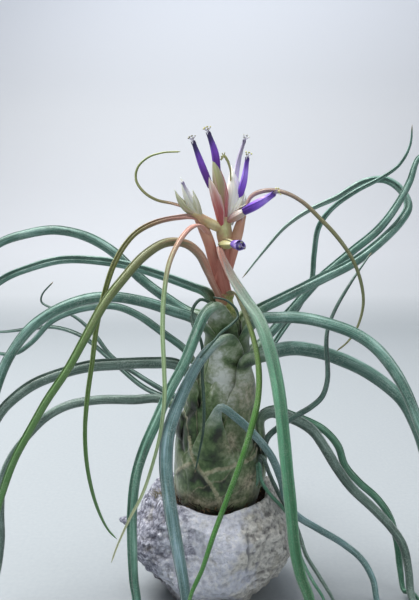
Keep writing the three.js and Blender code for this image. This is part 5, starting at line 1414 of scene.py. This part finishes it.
mat_turn = np.linspace(0, 2 * np.pi, 220, endpoint=False)[:, None]
mat_side = np.linspace(0, 2 * np.pi, 14, endpoint=False)[None, :]
mat_wave = at(np.cos(mat_turn) * 14, np.sin(mat_turn) * 14, np.cos(mat_side))
mat_thick = 1.25 + 0.5 * lumps(mat_wave, 0.8, 21)
mat_away = MAT_RADIUS + mat_thick * np.cos(mat_side)
mat_points = at(HOLLOW_LEAN + mat_away * np.cos(mat_turn), mat_away * np.sin(mat_turn),
                MAT_HEIGHT + 0.4 * np.sin(3 * mat_turn) + mat_thick * np.sin(mat_side))
mat_quads = grid_quads(len(mat_points) + 1, mat_side.size, True) % (len(mat_points) * mat_side.size)
mat = {"points": mat_points.reshape(-1, 3), "quads": mat_quads[:, ::-1], "tris": np.zeros((0, 3), int),
       "values": {}}


def strand(turn, away, low, high, wander, radius):
    """A thread from the mat up the hollow's wall, by a walk of five chance steps round the bulb."""
    turns = turn + np.cumsum(draw.normal(0, wander, 5))
    aways = away + np.cumsum(draw.normal(0.15, 0.5, 5))
    heights = np.linspace(low, high, 5) + draw.normal(0, 0.5, 5)
    stops = np.column_stack([HOLLOW_LEAN + aways * np.cos(turns), aways * np.sin(turns), heights])
    return stem(stops, [radius, radius, radius * 0.7], 3, 1.6)


def dry_material(name, roughness, per_m, depth, strength, *stops):
    """Dead and matt: one ramp over large blotches, and a bump from the small ones."""
    finish = Finish(name, Roughness=roughness)
    spots = finish.spots(per_m)
    return finish.done(ramp(spots["Large"], *stops), spots["Small"], depth, strength)


fibre_parts = [mat]
for i in range(STRANDS):
    start = 2 * np.pi * (i + draw.uniform()) / STRANDS
    high = MAT_HEIGHT + draw.uniform(0.5, 7.5)
    fibre_parts.append(strand(start, MAT_RADIUS - 0.4 + draw.uniform(-0.6, 0.8), MAT_HEIGHT - 0.5, high,
                              0.12, draw.uniform(0.15, 0.34)))
add_piece("root_tangle", fibre_parts,
          dry_material("root_fibre", 0.85, 300.0, 0.0004, 0.6,
                       (0.0, "#100c09"), (0.45, "#2a1e16"), (0.75, "#4f3826"), (1.0, "#86704f")),
          "root_brown", "root_fibres")

TUFT_AT = np.array([-27.5, -7.0, 53.0])
TUFT_THREADS = 46
tuft_parts = []
for i in range(TUFT_THREADS):
    base = TUFT_AT + draw.normal(0, 1, 3) * [1.6, 2.2, 0.3]
    lean = draw.normal(0, 1, 3) * [1.1, 1.1, 0.3]
    tip = base + lean + [-0.2, 0, draw.uniform(1.0, 3.2)]
    tuft_parts.append(stem([base, (base + tip) / 2 + draw.normal(0, 0.35, 3), tip], [0.2, 0.18, 0.1], 3, 0.7))
add_piece("rim_tuft", tuft_parts,
          dry_material("rim_tuft", 0.9, 700.0, 0.0003, 0.5,
                       (0.0, "#5a5340"), (0.5, "#8b846c"), (1.0, "#b9b5a2")),
          "root_brown")

# %% [markdown]
# ## Floor, backdrop and light
# A pale sheet runs level under the stone and curves up behind it, so no edge shows. Its tone rises with its
# height, from the grey of a shaded floor to a pale wall. One large soft lamp hangs over the left shoulder as
# a window would, a weaker one fills from the right, a third lights the backdrop, and the sky is a pale grey.

# %% Lay the floor and hang the lights
FLOOR_HALF, FLOOR_FRONT, FLOOR_BACK, CURVE, WALL_TOP = 2.2, -1.6, 0.75, 0.6, 2.4  # metres
arc = np.linspace(0, np.pi / 2, 16)
bow = np.column_stack([FLOOR_BACK + CURVE * np.sin(arc), CURVE * (1 - np.cos(arc))])
profile = np.vstack([[FLOOR_FRONT, 0.0], bow, [FLOOR_BACK + CURVE, WALL_TOP]])
floor_points = at(np.array([-FLOOR_HALF, FLOOR_HALF]), profile[:, :1], profile[:, 1:])
floor_mesh = bpy.data.meshes.new("floor_sweep")
floor_mesh.from_pydata(floor_points.reshape(-1, 3).tolist(), [], grid_quads(len(profile), 2, False).tolist())
floor_mesh.shade_smooth()
finish = Finish("floor_paper", Roughness=0.8, Specular_IOR_Level=0.1)
grain = noise(finish.place, 400.0, 3.0)
height = node("SeparateXYZ", {0: finish.place}, "Z")
# Painted shade: the sheet is grey where it lies as floor and pales up the wall.
paper = ramp(height, (0.0, "#90969a"), (0.04, "#afb3b7"), (0.12, "#babdc2"), (0.3, "#bcbfc4"),
             (0.5, "#c4c7cc"), (1.0, "#cbd0da"))
floor_mesh.materials.append(finish.done(mixed(grain * 0.06, paper, tint("#ffffff")), grain, 0.0001, 0.1))
floor = bpy.data.objects.new("floor_sweep", floor_mesh)
bpy.context.scene.collection.objects.link(floor)


def add_light(name, place, aim, size, power, colour):
    """A square lamp that hangs at a place and faces `aim`. Lengths here are metres."""
    data = bpy.data.lights.new(name, "AREA")
    data.shape, data.size, data.energy, data.color = "SQUARE", size, power, colour
    lamp = bpy.data.objects.new(name, data)
    lamp.location = place
    way = np.array(aim, float) - np.array(place, float)
    lamp.rotation_euler = (float(np.arctan2(np.hypot(way[0], way[1]), -way[2])), 0.0,
                           float(np.arctan2(way[1], way[0]) - np.pi / 2))
    bpy.context.scene.collection.objects.link(lamp)


add_light("window_light", (-0.42, 0.12, 1.15), (0, 0, 0.14), 0.7, 25.0, (1.0, 0.99, 0.97))
add_light("fill_light", (0.4, -1.1, 0.6), (0, 0, 0.12), 1.0, 4.3, (0.97, 0.98, 1.0))
add_light("backdrop_light", (0, 0.4, 1.7), (0, 1.35, 0.5), 1.2, 18, (0.97, 0.98, 1.0))
world = bpy.data.worlds.new("pale_sky")
world.use_nodes = True
sky = world.node_tree.nodes["Background"].inputs
sky["Color"].default_value = tint("#e2e6ec")
sky["Strength"].default_value = 0.32
bpy.context.scene.world = world
bpy.context.scene.view_settings.view_transform = "Standard"
